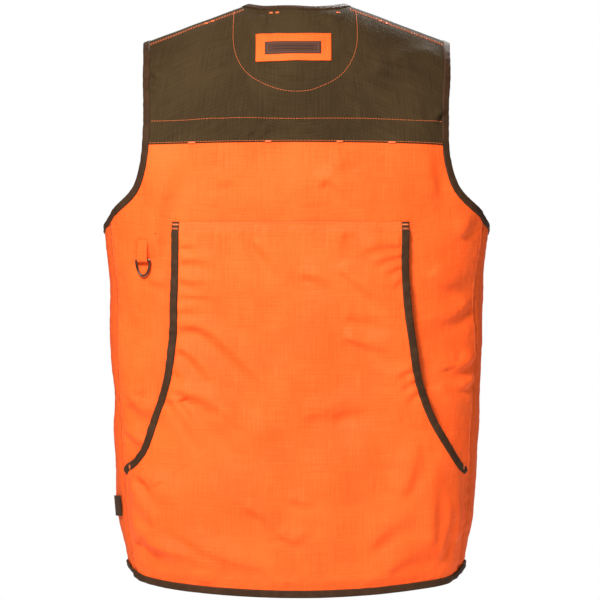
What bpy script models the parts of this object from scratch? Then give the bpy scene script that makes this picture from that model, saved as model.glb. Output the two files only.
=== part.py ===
"""Upland hunting vest with a yoke, a game pouch across the back, and a front that zips.

Metres, +Z up. The back faces +Y and the front -Y, so +X is the wearer's left. The origin is
midway between the two neck points of the shoulder seams, where the vest hangs from. Every cloth
panel is a thin shell laid on one rounded torso form, and the panels are layered on it outwards.
"""

from math import acos, atan2, cos, pi, radians, sin, sqrt

import bmesh
import bpy
import numpy as np
from mathutils import Matrix, Vector

BACK = 1
FRONT = -1
LEFT = 1
RIGHT = -1

# Torso form: half width by height, half depth front and back, and the roll over the shoulders.
FORM_Z = [-0.80, -0.70, -0.66, -0.59, -0.515, -0.46, -0.38, -0.337, -0.29, -0.25, 0.05]
FORM_HALF_WIDTH = [0.205, 0.2185, 0.2265, 0.2325, 0.2345, 0.238, 0.2405, 0.244, 0.2475, 0.25, 0.25]
BACK_DEPTH_Z = [-0.80, -0.62, -0.50, -0.36, -0.24, 0.05]
BACK_DEPTH = [0.124, 0.126, 0.119, 0.122, 0.130, 0.130]
FRONT_DEPTH = 0.118
SQUARENESS = 3.0
ROLL_HEIGHT = 0.18
NECK_HALF_WIDTH = 0.062
SHOULDER_SLOPE = 0.37

# Cloth, in the CAD's simple thickness, and the layers outwards from the form.
CLOTH = 0.0012
GAP = 0.0009
LEG_GAP = 0.0013
SEAM_GAP = 0.0002
SIDE_GAP = 0.0008
BINDING_REACH = 0.0085
BINDING_SIDE = 0.0010
PATCH_LIFT = 0.0016
POUCH_LIFT = 0.0048
POUCH_STAND_OFF = 0.0170
POUCH_HEM_RISE = 0.0125

# Outlines, as (x, z) on the left side, from the top down.
BACK_ARMHOLE = [
    (0.1965, -0.0498), (0.1960, -0.100), (0.1940, -0.180), (0.1955, -0.200), (0.1990, -0.220),
    (0.2040, -0.236), (0.2120, -0.2495), (0.2240, -0.2610), (0.2376, -0.2700),
]
FRONT_ARMHOLE = [
    (0.1965, -0.0498), (0.1860, -0.086), (0.1780, -0.130), (0.1750, -0.170), (0.1765, -0.200),
    (0.1840, -0.228), (0.1990, -0.251), (0.2256, -0.270),
]
FRONT_NECK = [(0.062, 0.0), (0.0600, -0.025), (0.0510, -0.060), (0.0350, -0.100), (0.0125, -0.1495)]
LEFT_MOUTH = [
    (0.1570, -0.2815), (0.1563, -0.360), (0.1592, -0.430), (0.1670, -0.485), (0.1800, -0.525),
    (0.1930, -0.562), (0.2180, -0.602),
]
RIGHT_MOUTH = [
    (0.1420, -0.2815), (0.1408, -0.350), (0.1482, -0.430), (0.1570, -0.480), (0.1718, -0.525),
    (0.1900, -0.560), (0.2150, -0.602),
]
UNDERARM_Z = -0.2895
BACK_SEAM_SHARE = 0.955
YOKE_SEAM_Z = -0.180
FRONT_SEAM_Z = -0.150
HEM_BACK_Z = -0.7590
HEM_FRONT_Z = -0.7380
HEM_SIDE_Z = -0.7240

# The line that each front swings about, from the underarm to the hem.
SWING_TOP = Vector((0.2266, -0.0735, -0.290))
SWING_BOTTOM = Vector((0.1988, -0.0735, -0.735))
SWING_GAP = 0.0034

# Zip.
TEETH_NEAR = 0.0006
TEETH_FAR = 0.0034
TEETH_HALF_DEPTH = 0.0012
TAPE_FAR = 0.018
FRONT_EDGE = 0.0065
ZIP_TOP = -0.158
ZIP_BOTTOM = -0.742
SLIDER_HALF_WIDTH = 0.0055
SLIDER_LENGTH = 0.016
SLIDER_Z = -0.7330
PULL_HALF_WIDTH = 0.0032
PULL_HALF_DEPTH = 0.0009
PULL_LENGTH = 0.0240
RIGHT_TEETH_BOTTOM = -0.722

# Pockets on the fronts.
POCKET_NEAR = 0.036
POCKET_FAR = 0.170
POCKET_TOP = -0.505
POCKET_BOTTOM = -0.690
POCKET_DEPTH = 0.024
FLAP_TOP = -0.494
FLAP_LENGTH = 0.072
FLAP_OFFSET = 0.0282
FLAP_ROOT = 0.0042
FLAP_OVERHANG = 0.003
SNAP_X = 0.100
SNAP_Z = -0.545

# D-ring and its tab.
RING_X = 0.1935
RING_Z = -0.3300
RING_WIDTH = 0.0196
RING_WIRE = 0.0015
RING_DROP = 0.0200
TAB_WIDTH = 0.0145
TAB_TOP = -0.304

# Colours: (red, green, blue), roughness, metallic.
ORANGE = ((1.0, 0.14, 0.03), 0.75, 0.0)
BROWN = ((0.055, 0.036, 0.020), 0.85, 0.0)
DARK_BINDING = ((0.045, 0.024, 0.012), 0.85, 0.0)
BRONZE = ((0.10, 0.07, 0.05), 0.40, 0.9)
STEEL = ((0.35, 0.33, 0.31), 0.35, 1.0)
LABEL = ((0.09, 0.055, 0.03), 0.80, 0.0)


def clear_scene():
    for item in list(bpy.data.objects):
        bpy.data.objects.remove(item, do_unlink=True)


def material(name, finish):
    colour, roughness, metallic = finish
    made = bpy.data.materials.new(name)
    made.use_nodes = True
    shader = made.node_tree.nodes["Principled BSDF"]
    shader.inputs["Base Color"].default_value = (*colour, 1.0)
    shader.inputs["Roughness"].default_value = roughness
    shader.inputs["Metallic"].default_value = metallic
    return made


def add_object(name, mesh, finish, parent=None):
    item = bpy.data.objects.new(name, mesh)
    bpy.context.scene.collection.objects.link(item)
    item.data.materials.append(material(name, finish))
    if parent is not None:
        item.parent = parent
        item.matrix_parent_inverse = parent.matrix_world.inverted()
    return item


# ---- The torso form -------------------------------------------------------------------------


def half_width(z):
    return float(np.interp(z, FORM_Z, FORM_HALF_WIDTH))


def half_depth(z, side):
    if side == FRONT:
        return FRONT_DEPTH
    return float(np.interp(z, BACK_DEPTH_Z, BACK_DEPTH))


def ridge_z(x):
    """Height of the shoulder line, which is rounded across the neck."""
    if abs(x) < NECK_HALF_WIDTH:
        return SHOULDER_SLOPE * (NECK_HALF_WIDTH ** 2 - x * x) / (2 * NECK_HALF_WIDTH)
    return -SHOULDER_SLOPE * (abs(x) - NECK_HALF_WIDTH)


def roll(x, z):
    """Share of the full depth, squared, as the form rolls over the shoulder line."""
    t = min(max((ridge_z(x) - z) / ROLL_HEIGHT, 0.0), 1.0)
    return 2 * t - t * t


def drape(x, z):
    """Distance down over the form from the shoulder line, which spaces rows evenly on the roll."""
    t = max((ridge_z(x) - z) / ROLL_HEIGHT, 0.0)
    if t <= 1:
        return ROLL_HEIGHT * acos(1 - t)
    return ROLL_HEIGHT * (pi / 2 + t - 1)


def drop(x, distance):
    """The height that lies a distance down over the form from the shoulder line."""
    turn = distance / ROLL_HEIGHT
    t = 1 - cos(turn) if turn <= pi / 2 else turn - pi / 2 + 1
    return ridge_z(x) - ROLL_HEIGHT * t


def flatness(x, z):
    """The section's depth at x as a share of its depth in the middle."""
    c = min(abs(x) / half_width(z), 1.0)
    return (1 - c ** SQUARENESS) ** (1 / SQUARENESS)


def angle_of(x, z, side):
    """The polar angle of the section's point at x: 0 at the left side, positive on the back."""
    return atan2(side * half_depth(z, side) * flatness(x, z), x)


def form_point(angle, z):
    side = BACK if sin(angle) >= 0 else FRONT
    across = abs(cos(angle)) / half_width(z)
    along = abs(sin(angle)) / half_depth(z, side)
    reach = (across ** SQUARENESS + along ** SQUARENESS) ** (-1 / SQUARENESS)
    x = reach * cos(angle)
    return Vector((x, reach * sin(angle) * sqrt(roll(x, z)), z))


def form_normal(angle, z):
    """The gradient of the form's implicit function, which holds at the sides and the ridge too."""
    point = form_point(angle, z)
    side = BACK if sin(angle) >= 0 else FRONT
    width = half_width(z)
    depth = half_depth(z, side)
    share = abs(point.x) / width
    flat = flatness(point.x, z)
    rolled = roll(point.x, z)
    t = min(max((ridge_z(point.x) - z) / ROLL_HEIGHT, 0.0), 1.0)
    step = 0.001
    ridge_slope = (ridge_z(point.x + step) - ridge_z(point.x - step)) / (2 * step)
    width_slope = (half_width(z + step) - half_width(z - step)) / (2 * step)
    depth_slope = (half_depth(z + step, side) - half_depth(z - step, side)) / (2 * step)
    sign = 1 if point.x >= 0 else -1
    power = SQUARENESS
    solid = flat ** power
    turn = 2 * (1 - t) / ROLL_HEIGHT
    gx = depth ** 2 * (2 * share ** (power - 1) * sign / width * rolled - solid * turn * ridge_slope)
    gy = 2 * point.y * flat ** (power - 2)
    gz = depth ** 2 * (solid * turn - 2 * share ** power * width_slope / width * rolled)
    gz -= 2 * depth * depth_slope * solid * rolled
    return Vector((gx, gy, gz)).normalized()


def on_form(angle, z, offset=0.0):
    return form_point(angle, z) + form_normal(angle, z) * offset


def at_x(x, z, side, offset=0.0):
    return on_form(angle_of(x, z, side), z, offset)


def outline_x(outline, z):
    """The outline's x at a height; the outlines run from the top down."""
    heights = [point[1] for point in outline][::-1]
    widths = [point[0] for point in outline][::-1]
    return float(np.interp(z, heights, widths))


def mix(low, high, share):
    return low + (high - low) * share


def hem_z(x, z_guess=-0.74, side=BACK):
    """The hem drops at the back and rises at the sides."""
    share = min(abs(x) / half_width(z_guess), 1.0)
    centre = HEM_BACK_Z if side == BACK else HEM_FRONT_Z
    dip = 0.0185 * share ** 2 if side == BACK else 0.0
    return centre + dip + (HEM_SIDE_Z - centre - dip) * share ** 30


def pouch_stand_off(x, z):
    """How far the game pouch stands off the back, widest at its mouths."""
    down = min(max((LEFT_MOUTH[0][1] - z) / (LEFT_MOUTH[0][1] - HEM_BACK_Z), 0.0), 1.0)
    share = min(abs(x) / half_width(z) / BACK_SEAM_SHARE, 1.0)
    return POUCH_LIFT + POUCH_STAND_OFF * sin(pi * down) * (1 - share ** 6)


def swing_line(z, hand):
    """The point of a front's swing line at a height."""
    share = (z - SWING_TOP.z) / (SWING_BOTTOM.z - SWING_TOP.z)
    point = SWING_TOP.lerp(SWING_BOTTOM, share)
    return Vector((hand * point.x, point.y, z))


# ---- Shells, bindings and other solids --------------------------------------------------------


def solid_from(name, vertices, faces, finish, parent=None):
    mesh = bpy.data.meshes.new(name)
    mesh.from_pydata([tuple(point) for point in vertices], [], faces)
    shape = bmesh.new()
    shape.from_mesh(mesh)
    bmesh.ops.recalc_face_normals(shape, faces=shape.faces)
    shape.to_mesh(mesh)
    shape.free()
    mesh.shade_smooth()
    mesh.set_sharp_from_angle(angle=radians(40))
    return add_object(name, mesh, finish, parent)


def steps(*runs):
    """Stations from 0 to 1 along a panel: each run is (end, count)."""
    stations = [0.0]
    for end, count in runs:
        stations += list(np.linspace(stations[-1], end, count + 1)[1:])
    return stations


def as_far_as(end, stations):
    return [v for v in stations if v < end + 1e-6]


def shell(name, across, down, locate, finish, parent=None, thickness=CLOTH):
    """A closed thin shell: locate(u, v) gives the angle, the height and the middle's offset."""
    layers = []
    for side in (-0.5, 0.5):
        for v in down:
            for u in across:
                angle, z, offset = locate(u, v)
                layers.append(on_form(angle, z, offset + side * thickness))
    width = len(across)
    rows = len(down) - 1
    columns = width - 1
    count = len(layers) // 2
    faces = []
    for row in range(rows):
        for column in range(columns):
            first = row * width + column
            quad = (first, first + 1, first + 1 + width, first + width)
            faces.append(quad)
            faces.append(tuple(count + corner for corner in reversed(quad)))
    rim = list(range(width))
    rim += [row * width + columns for row in range(1, rows + 1)]
    rim += [rows * width + column for column in range(columns - 1, -1, -1)]
    rim += [row * width for row in range(rows - 1, 0, -1)]
    for here, there in zip(rim, rim[1:] + rim[:1]):
        faces.append((there, here, count + here, count + there))
    return solid_from(name, layers, faces, finish, parent)


def step_inwards(point, direction, distance):
    """The angle and height of the form's point a short way along it from a point."""
    moved = point + direction * distance
    rolled = roll(moved.x, moved.z)
    return atan2(moved.y / sqrt(max(rolled, 0.02)), moved.x), moved.z, rolled


def binding(name, path, inwards, finish, parent=None, lift=None, reach=BINDING_REACH):
    """A strip folded over a cloth edge. path holds (angle, z); inwards says which side is cloth."""
    lift = lift or (lambda x, z: 0.0)
    inner = CLOTH / 2 + LEG_GAP
    outer = inner + BINDING_SIDE
    profile = [
        (-0.0022, -outer), (reach, -outer), (reach, -inner), (-GAP, -inner),
        (-GAP, inner), (reach, inner), (reach, outer), (-0.0022, outer),
    ]
    points = [form_point(angle, z) for angle, z in path]
    vertices = []
    for index, (angle, z) in enumerate(path):
        before = points[max(index - 1, 0)]
        after = points[min(index + 1, len(points) - 1)]
        normal = form_normal(angle, z)
        across = normal.cross(after - before).normalized() * inwards
        for distance, offset in profile:
            new_angle, new_z, rolled = step_inwards(points[index], across, distance)
            if rolled > 0.2:
                raised = offset + lift(points[index].x, new_z)
                vertices.append(on_form(new_angle, new_z, raised))
            else:
                vertices.append(points[index] + across * distance + normal * offset)
    sides = len(profile)
    faces = []
    for index in range(len(path) - 1):
        for corner in range(sides):
            here = index * sides + corner
            there = index * sides + (corner + 1) % sides
            faces.append((here, there, there + sides, here + sides))
    faces.append(tuple(range(sides)))
    faces.append(tuple(range(len(path) * sides - 1, (len(path) - 1) * sides - 1, -1)))
    return solid_from(name, vertices, faces, finish, parent)


def box(name, low, high, finish, parent=None):
    corners = []
    for x in (low[0], high[0]):
        for y in (low[1], high[1]):
            corners += [(x, y, low[2]), (x, y, high[2])]
    faces = [(0, 1, 3, 2), (4, 6, 7, 5), (0, 4, 5, 1), (2, 3, 7, 6), (0, 2, 6, 4), (1, 5, 7, 3)]
    return solid_from(name, corners, faces, finish, parent)


def disc(name, centre, normal, radius, height, finish, parent=None):
    """A short cylinder that starts at centre and rises along normal."""
    mesh = bpy.data.meshes.new(name)
    shape = bmesh.new()
    bmesh.ops.create_cone(
        shape, cap_ends=True, segments=20, radius1=radius, radius2=radius * 0.9, depth=height)
    turn = Vector((0, 0, 1)).rotation_difference(normal).to_matrix().to_4x4()
    place = Matrix.Translation(centre + normal * height / 2) @ turn
    bmesh.ops.transform(shape, matrix=place, verts=shape.verts)
    shape.to_mesh(mesh)
    shape.free()
    mesh.shade_smooth()
    mesh.set_sharp_from_angle(angle=radians(40))
    return add_object(name, mesh, finish, parent)


def empty_at(name, place):
    item = bpy.data.objects.new(name, None)
    item.location = place
    bpy.context.scene.collection.objects.link(item)
    bpy.context.view_layer.update()
    return item


# ---- Back -------------------------------------------------------------------------------------


def yoke_seam_z(x):
    return YOKE_SEAM_Z - 0.004 * (x / 0.2) ** 2


def back_neck_z(x):
    """The back neckline, which dips a little in the middle and meets the shoulder line."""
    share = min(abs(x) / NECK_HALF_WIDTH, 1.0)
    return min(ridge_z(x), -0.005 * (1 - share ** 4))


def share_at(z, top, bottom):
    return (z - top) / (bottom - top)


NECK_SHARE = 0.5 * NECK_HALF_WIDTH / BACK_ARMHOLE[0][0]
NECK_STATIONS = [0.5 + NECK_SHARE * sin(turn) for turn in np.linspace(-pi / 2, pi / 2, 17)]
SHOULDER_STATIONS = steps((NECK_STATIONS[0], 6))[:-1]
YOKE_ACROSS = SHOULDER_STATIONS + NECK_STATIONS + [1 - u for u in reversed(SHOULDER_STATIONS)]
YOKE_DOWN = steps((1, 12))
BACK_ACROSS = steps((0.12, 4), (0.88, 12), (1, 4))
BACK_ARM_SHARE = share_at(BACK_ARMHOLE[-1][1], yoke_seam_z(0.195), hem_z(0.2))
BACK_ARM_ROWS = [(0.6 * BACK_ARM_SHARE, 4), (0.85 * BACK_ARM_SHARE, 4), (BACK_ARM_SHARE, 5)]
BACK_DOWN = steps(*BACK_ARM_ROWS, (1, 12))
SIDE_ACROSS = steps((1, 9))
SIDE_DOWN = steps((0.05, 2), (1, 11))
FRONT_YOKE_DOWN = steps((1, 10))
FRONT_ARM_SHARE = share_at(FRONT_ARMHOLE[-1][1], FRONT_SEAM_Z, HEM_FRONT_Z)
FRONT_DOWN = steps((0.6 * FRONT_ARM_SHARE, 5), (FRONT_ARM_SHARE, 8), (1, 9))
FRONT_ACROSS = steps((0.8, 10), (1, 5))
POUCH_ACROSS = steps((0.1, 4), (0.9, 12), (1, 4))
POUCH_SIDE_HEM_Z = hem_z(0.21) + POUCH_HEM_RISE
POUCH_MOUTH_SHARE = share_at(LEFT_MOUTH[-1][1], LEFT_MOUTH[0][1], POUCH_SIDE_HEM_Z)
MOUTH_ROWS = [(0.6 * POUCH_MOUTH_SHARE, 6), (0.85 * POUCH_MOUTH_SHARE, 6), (POUCH_MOUTH_SHARE, 7)]
POUCH_DOWN = steps(*MOUTH_ROWS, (1, 4))


def back_yoke_place(u, v):
    top = drape(0.19, BACK_ARMHOLE[0][1])
    edge_z = drop(0.19, mix(top, drape(0.19, yoke_seam_z(0.195)), v))
    edge = outline_x(BACK_ARMHOLE, edge_z)
    x = mix(-edge, edge, u)
    seam = yoke_seam_z(x) + SEAM_GAP
    z = drop(x, mix(drape(x, back_neck_z(x)), drape(x, seam), v))
    return angle_of(x, z, BACK), z, 0.0


def back_edge_x(z):
    if z > BACK_ARMHOLE[-1][1]:
        return outline_x(BACK_ARMHOLE, z)
    return BACK_SEAM_SHARE * half_width(z)


def back_panel_place(u, v):
    edge_z = mix(yoke_seam_z(0.195), hem_z(0.2), v)
    edge = back_edge_x(edge_z)
    turn = angle_of(edge, edge_z, BACK)
    angle = mix(pi - turn, turn, u)
    x = form_point(angle, edge_z).x
    return angle, mix(yoke_seam_z(x) - SEAM_GAP, hem_z(x), v), 0.0


def mouth_x(z, hand):
    outline = LEFT_MOUTH if hand == LEFT else RIGHT_MOUTH
    return hand * min(outline_x(outline, z), BACK_SEAM_SHARE * half_width(z) - 0.0005)


def pouch_place(u, v):
    top = LEFT_MOUTH[0][1] - 0.001
    edge_z = mix(top, POUCH_SIDE_HEM_Z, v)
    left = angle_of(mouth_x(edge_z, LEFT), edge_z, BACK)
    right = angle_of(mouth_x(edge_z, RIGHT), edge_z, BACK)
    angle = mix(right, left, u)
    x = form_point(angle, edge_z).x
    z = mix(top, hem_z(x) + POUCH_HEM_RISE, v)
    return angle, z, pouch_stand_off(x, z)


def game_pouch():
    shell("game_pouch_panel", POUCH_ACROSS, POUCH_DOWN, pouch_place, ORANGE)
    for hand, word, edge in ((LEFT, "left", 1.0), (RIGHT, "right", 0.0)):
        path = [pouch_place(edge, v)[:2] for v in as_far_as(POUCH_MOUTH_SHARE, POUCH_DOWN)]
        binding(f"pouch_binding_{word}", path, hand, DARK_BINDING, lift=pouch_stand_off)


def labels():
    def patch(u, v):
        x = mix(-0.044, 0.052, u)
        z = mix(-0.042, -0.078, v)
        return angle_of(x, z, BACK), z, PATCH_LIFT

    shell("label_patch", steps((1, 8)), steps((1, 3)), patch, ORANGE)
    middle = at_x(0.0045, -0.061, BACK)
    normal = form_normal(angle_of(0.0045, -0.061, BACK), -0.061)
    along = Vector((1, 0, 0))
    along = (along - normal * along.dot(normal)).normalized()
    up = normal.cross(along)
    low = PATCH_LIFT + CLOTH / 2 + GAP
    corners = []
    for offset in (low, low + 0.0008):
        for a, b in ((-0.0355, -0.008), (0.0355, -0.008), (0.0355, 0.008), (-0.0355, 0.008)):
            corners.append(middle + along * a + up * b + normal * offset)
    faces = [(3, 2, 1, 0), (4, 5, 6, 7), (0, 1, 5, 4), (1, 2, 6, 5), (2, 3, 7, 6), (3, 0, 4, 7)]
    solid_from("woven_label", corners, faces, LABEL)


# ---- Sides ------------------------------------------------------------------------------------


def front_seam_angle(z, gap=0.0):
    """The form's angle at the left swing line, moved along the form by a gap."""
    return angle_of(swing_line(z, LEFT).x, z, FRONT) + gap / half_width(z)


def underarm_z(share):
    """Top edge of the side panel; share runs from -1 at the front seam to 1 at the back seam."""
    return mix(UNDERARM_Z, BACK_ARMHOLE[-1][1], share ** 2)


def side_place(u, v):
    """The left side panel; the right one is its mirror image."""
    top = underarm_z(mix(-1, 1, u))
    z = mix(top, HEM_SIDE_Z, v)
    front = front_seam_angle(z, SWING_GAP / 2)
    back = angle_of(back_edge_x(z) + SIDE_GAP, z, BACK)
    angle = mix(front, back, u)
    side = BACK if angle >= 0 else FRONT
    return angle, mix(top, hem_z(form_point(angle, z).x, side=side), v), 0.0


def mirrored(place, hand):
    """A left panel's place function, or its mirror image for the right."""
    if hand == LEFT:
        return place

    def other(u, v):
        angle, z, offset = place(u, v)
        return pi - angle, z, offset

    return other


def side_tag():
    """A folded tag that stands out of the left side seam."""
    def locate(u, v):
        return mix(radians(12.5), radians(7.0), u), mix(-0.632, -0.658, v), mix(0.0020, 0.0062, u)

    shell("side_tag", steps((1, 3)), steps((1, 2)), locate, BROWN, thickness=0.001)


def d_ring():
    """A fabric tab in a closed loop, and a wire D whose straight bar runs through it."""
    normal = form_normal(angle_of(RING_X, RING_Z, BACK), RING_Z)
    along = Vector((normal.y, -normal.x, 0)).normalized()
    centre = at_x(RING_X, RING_Z, BACK) + normal * 0.0052
    up = along.cross(normal).normalized()
    inner_radius = RING_WIRE + 0.0004
    outer_radius = inner_radius + 0.0009
    height = TAB_TOP - RING_Z

    def loop(radius, top):
        points = [(radius * cos(a), radius * sin(a)) for a in np.linspace(-pi, 0, 9)]
        return points + [(radius, top), (-radius, top)]

    vertices = []
    for side in (-0.5, 0.5):
        for outline in (loop(outer_radius, height), loop(inner_radius, height - 0.006)):
            for across, rise in outline:
                vertices.append(centre + along * side * TAB_WIDTH + normal * across + up * rise)
    count = len(vertices) // 4
    faces = []
    for index in range(count):
        after = (index + 1) % count
        outer, inner, far_outer, far_inner = 0, count, 2 * count, 3 * count
        faces.append((outer + index, outer + after, far_outer + after, far_outer + index))
        faces.append((inner + after, inner + index, far_inner + index, far_inner + after))
        faces.append((outer + after, outer + index, inner + index, inner + after))
        faces.append((far_outer + index, far_outer + after, far_inner + after, far_inner + index))
    solid_from("d_ring_tab", vertices, faces, ORANGE)

    pivot = empty_at("d_ring_axis", centre)
    bow = [(0.5 * RING_WIDTH * cos(a), RING_DROP * sin(a)) for a in np.linspace(0, -pi, 15)]
    ring_path = [centre + along * across + up * rise for across, rise in bow]
    bar = [centre + along * across for across in np.linspace(-0.38, 0.38, 5) * RING_WIDTH]
    wire_loop("d_ring", ring_path + bar, RING_WIRE, BRONZE, pivot)


def wire_loop(name, points, radius, finish, parent=None):
    curve = bpy.data.curves.new(name, "CURVE")
    curve.dimensions = "3D"
    curve.bevel_depth = radius
    curve.bevel_resolution = 2
    spline = curve.splines.new("POLY")
    spline.points.add(len(points) - 1)
    for knot, point in zip(spline.points, points):
        knot.co = (*point, 1.0)
    spline.use_cyclic_u = True
    return add_object(name, curve, finish, parent)


def hanger_loop():
    """A short cord loop inside the back of the neck."""
    curve = bpy.data.curves.new("hanger_loop", "CURVE")
    curve.dimensions = "3D"
    curve.bevel_depth = 0.0015
    curve.bevel_resolution = 2
    curve.use_fill_caps = True
    spline = curve.splines.new("POLY")
    turns = np.linspace(0, pi, 13)
    spline.points.add(len(turns) - 1)
    for knot, turn in zip(spline.points, turns):
        x = 0.024 * cos(turn)
        z = -0.0175 - 0.020 * sin(turn)
        point = at_x(x, z, BACK, -0.0046 - 0.002 * sin(turn))
        knot.co = (*point, 1.0)
    add_object("hanger_loop", curve, DARK_BINDING)


# ---- Bindings ---------------------------------------------------------------------------------


def armhole_path():
    """The static left edge: front yoke, over the shoulder, down the back and under the arm."""
    path = [front_yoke_place(1, v)[:2] for v in reversed(FRONT_YOKE_DOWN)]
    path += [back_yoke_place(1, v)[:2] for v in YOKE_DOWN]
    path += [back_panel_place(1, v)[:2] for v in as_far_as(BACK_ARM_SHARE, BACK_DOWN)[1:]]
    path += [side_place(u, 0)[:2] for u in reversed(SIDE_ACROSS[:-1])]
    return path


def mirrored_path(path, hand):
    if hand == LEFT:
        return path
    return [(pi - angle, z) for angle, z in path]


def bindings():
    for hand, word in ((LEFT, "left"), (RIGHT, "right")):
        path = mirrored_path(armhole_path(), hand)
        binding(f"armhole_binding_{word}", path, hand, DARK_BINDING)
    left_neck = [front_yoke_place(0, v)[:2] for v in reversed(FRONT_YOKE_DOWN)]
    back_neck = [back_yoke_place(u, 0)[:2] for u in reversed(NECK_STATIONS[1:-1])]
    right_neck = mirrored_path(left_neck, RIGHT)[::-1]
    binding("neck_binding", left_neck + back_neck + right_neck, -1, DARK_BINDING)
    left_hem = [side_place(u, 1)[:2] for u in SIDE_ACROSS]
    back_hem = [back_panel_place(u, 1)[:2] for u in reversed(BACK_ACROSS)]
    right_hem = mirrored_path(left_hem, RIGHT)[::-1]
    binding("hem_binding_back", left_hem + back_hem + right_hem, 1, DARK_BINDING)


# ---- Fronts -----------------------------------------------------------------------------------


def front_yoke_place(u, v):
    start = 0.0004
    near_z = drop(0.055, mix(start, drape(0.055, FRONT_SEAM_Z), v))
    far_z = drop(0.19, mix(start, drape(0.19, FRONT_SEAM_Z), v))
    x = mix(outline_x(FRONT_NECK, near_z), outline_x(FRONT_ARMHOLE, far_z), u)
    z = drop(x, mix(start, drape(x, FRONT_SEAM_Z + SEAM_GAP), v))
    return angle_of(x, z, FRONT), z, 0.0


def front_far_x(z):
    """The front panel's outer edge: the armhole, then the swing line."""
    if z > FRONT_ARMHOLE[-1][1]:
        return outline_x(FRONT_ARMHOLE, z)
    return swing_line(z, LEFT).x - SWING_GAP / 2


def front_panel_place(u, v):
    top = FRONT_SEAM_Z - SEAM_GAP
    edge_z = mix(top, HEM_FRONT_Z, v)
    near = angle_of(FRONT_EDGE, edge_z, FRONT)
    far = angle_of(front_far_x(edge_z), edge_z, FRONT)
    angle = mix(near, far, u)
    x = form_point(angle, edge_z).x
    return angle, mix(top, hem_z(x, side=FRONT), v), 0.0


def front_panel(hand, word, parent):
    place = mirrored(front_panel_place, hand)
    shell(f"front_panel_{word}", FRONT_ACROSS, FRONT_DOWN, place, ORANGE, parent)
    armhole = [place(1, v)[:2] for v in as_far_as(FRONT_ARM_SHARE, FRONT_DOWN)]
    binding(f"armhole_front_binding_{word}", armhole, -hand, DARK_BINDING, parent)
    hem = [place(u, 1)[:2] for u in FRONT_ACROSS]
    binding(f"hem_binding_front_{word}", hem, hand, DARK_BINDING, parent)


def zip_parts(hand, word, parent):
    face = -FRONT_DEPTH
    inner = face + 0.0023
    teeth_low = RIGHT_TEETH_BOTTOM if hand == RIGHT else ZIP_BOTTOM

    def strip(name, near, far, y_low, y_high, low, high, finish):
        sides = sorted((hand * near, hand * far))
        box(name, (sides[0], y_low, low), (sides[1], y_high, high), finish, parent)

    strip(f"zip_teeth_{word}", TEETH_NEAR, TEETH_FAR, inner - 0.0004 - TEETH_HALF_DEPTH,
          inner - 0.0004 + TEETH_HALF_DEPTH, teeth_low, ZIP_TOP, DARK_BINDING)
    strip(f"zip_tape_{word}", TEETH_FAR + 0.0003, TAPE_FAR, inner - 0.0008, inner - 0.0001,
          ZIP_BOTTOM + 0.014, ZIP_TOP + 0.004, BROWN)
    strip(f"zip_stop_{word}", TEETH_NEAR - 0.0002, TEETH_FAR + 0.0001, inner - 0.0022,
          inner + 0.0014, ZIP_TOP + 0.0004, ZIP_TOP + 0.0034, STEEL)
    if hand == RIGHT:
        strip("zip_pin", TEETH_NEAR, TEETH_FAR, inner - 0.0014, inner + 0.0006,
              RIGHT_TEETH_BOTTOM - 0.0024, RIGHT_TEETH_BOTTOM - 0.0004, STEEL)
    else:
        strip("zip_box", -0.0038, 0.0052, inner - 0.0026, inner + 0.0018,
              ZIP_BOTTOM - 0.0120, ZIP_BOTTOM - 0.0004, STEEL)


def zip_slider(front):
    """Two plates either side of the teeth, joined by a thin post, with a bail above the pull."""
    middle = -FRONT_DEPTH + 0.0019
    gap = TEETH_HALF_DEPTH + 0.0004
    plate = 0.0012
    post = 0.00022
    low = SLIDER_Z - SLIDER_LENGTH / 2
    high = SLIDER_Z + SLIDER_LENGTH / 2
    wide = SLIDER_HALF_WIDTH
    outline = [
        (-wide, -gap - plate), (wide, -gap - plate), (wide, -gap), (post, -gap),
        (post, gap), (wide, gap), (wide, gap + plate), (-wide, gap + plate),
        (-wide, gap), (-post, gap), (-post, -gap), (-wide, -gap),
    ]
    vertices = [(x, middle + y, z) for z in (low, high) for x, y in outline]
    count = len(outline)
    faces = [tuple(range(count)), tuple(range(2 * count - 1, count - 1, -1))]
    for index in range(count):
        after = (index + 1) % count
        faces.append((index, after, after + count, index + count))
    slide = empty_at("slider_axis", (0, middle, SLIDER_Z))
    slide.parent = front
    slide.matrix_parent_inverse = front.matrix_world.inverted()
    solid_from("zip_slider", vertices, faces, BRONZE, slide)
    face = middle - gap - plate
    pivot_y = face - 0.0022
    bail_z = SLIDER_Z + 0.003
    swing = empty_at("pull_axis", (0, pivot_y, bail_z))
    swing.parent = slide
    swing.matrix_parent_inverse = slide.matrix_world.inverted()
    bail_low = (-0.0009, face - 0.0042, bail_z + 0.0026)
    bail_high = (0.0009, face - 0.0003, bail_z + 0.0040)
    box("zip_bail", bail_low, bail_high, BRONZE, slide)
    pull_low = (-PULL_HALF_WIDTH, pivot_y - PULL_HALF_DEPTH, bail_z - PULL_LENGTH)
    pull_high = (PULL_HALF_WIDTH, pivot_y + PULL_HALF_DEPTH, bail_z + 0.0020)
    box("zip_pull", pull_low, pull_high, BRONZE, swing)


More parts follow.
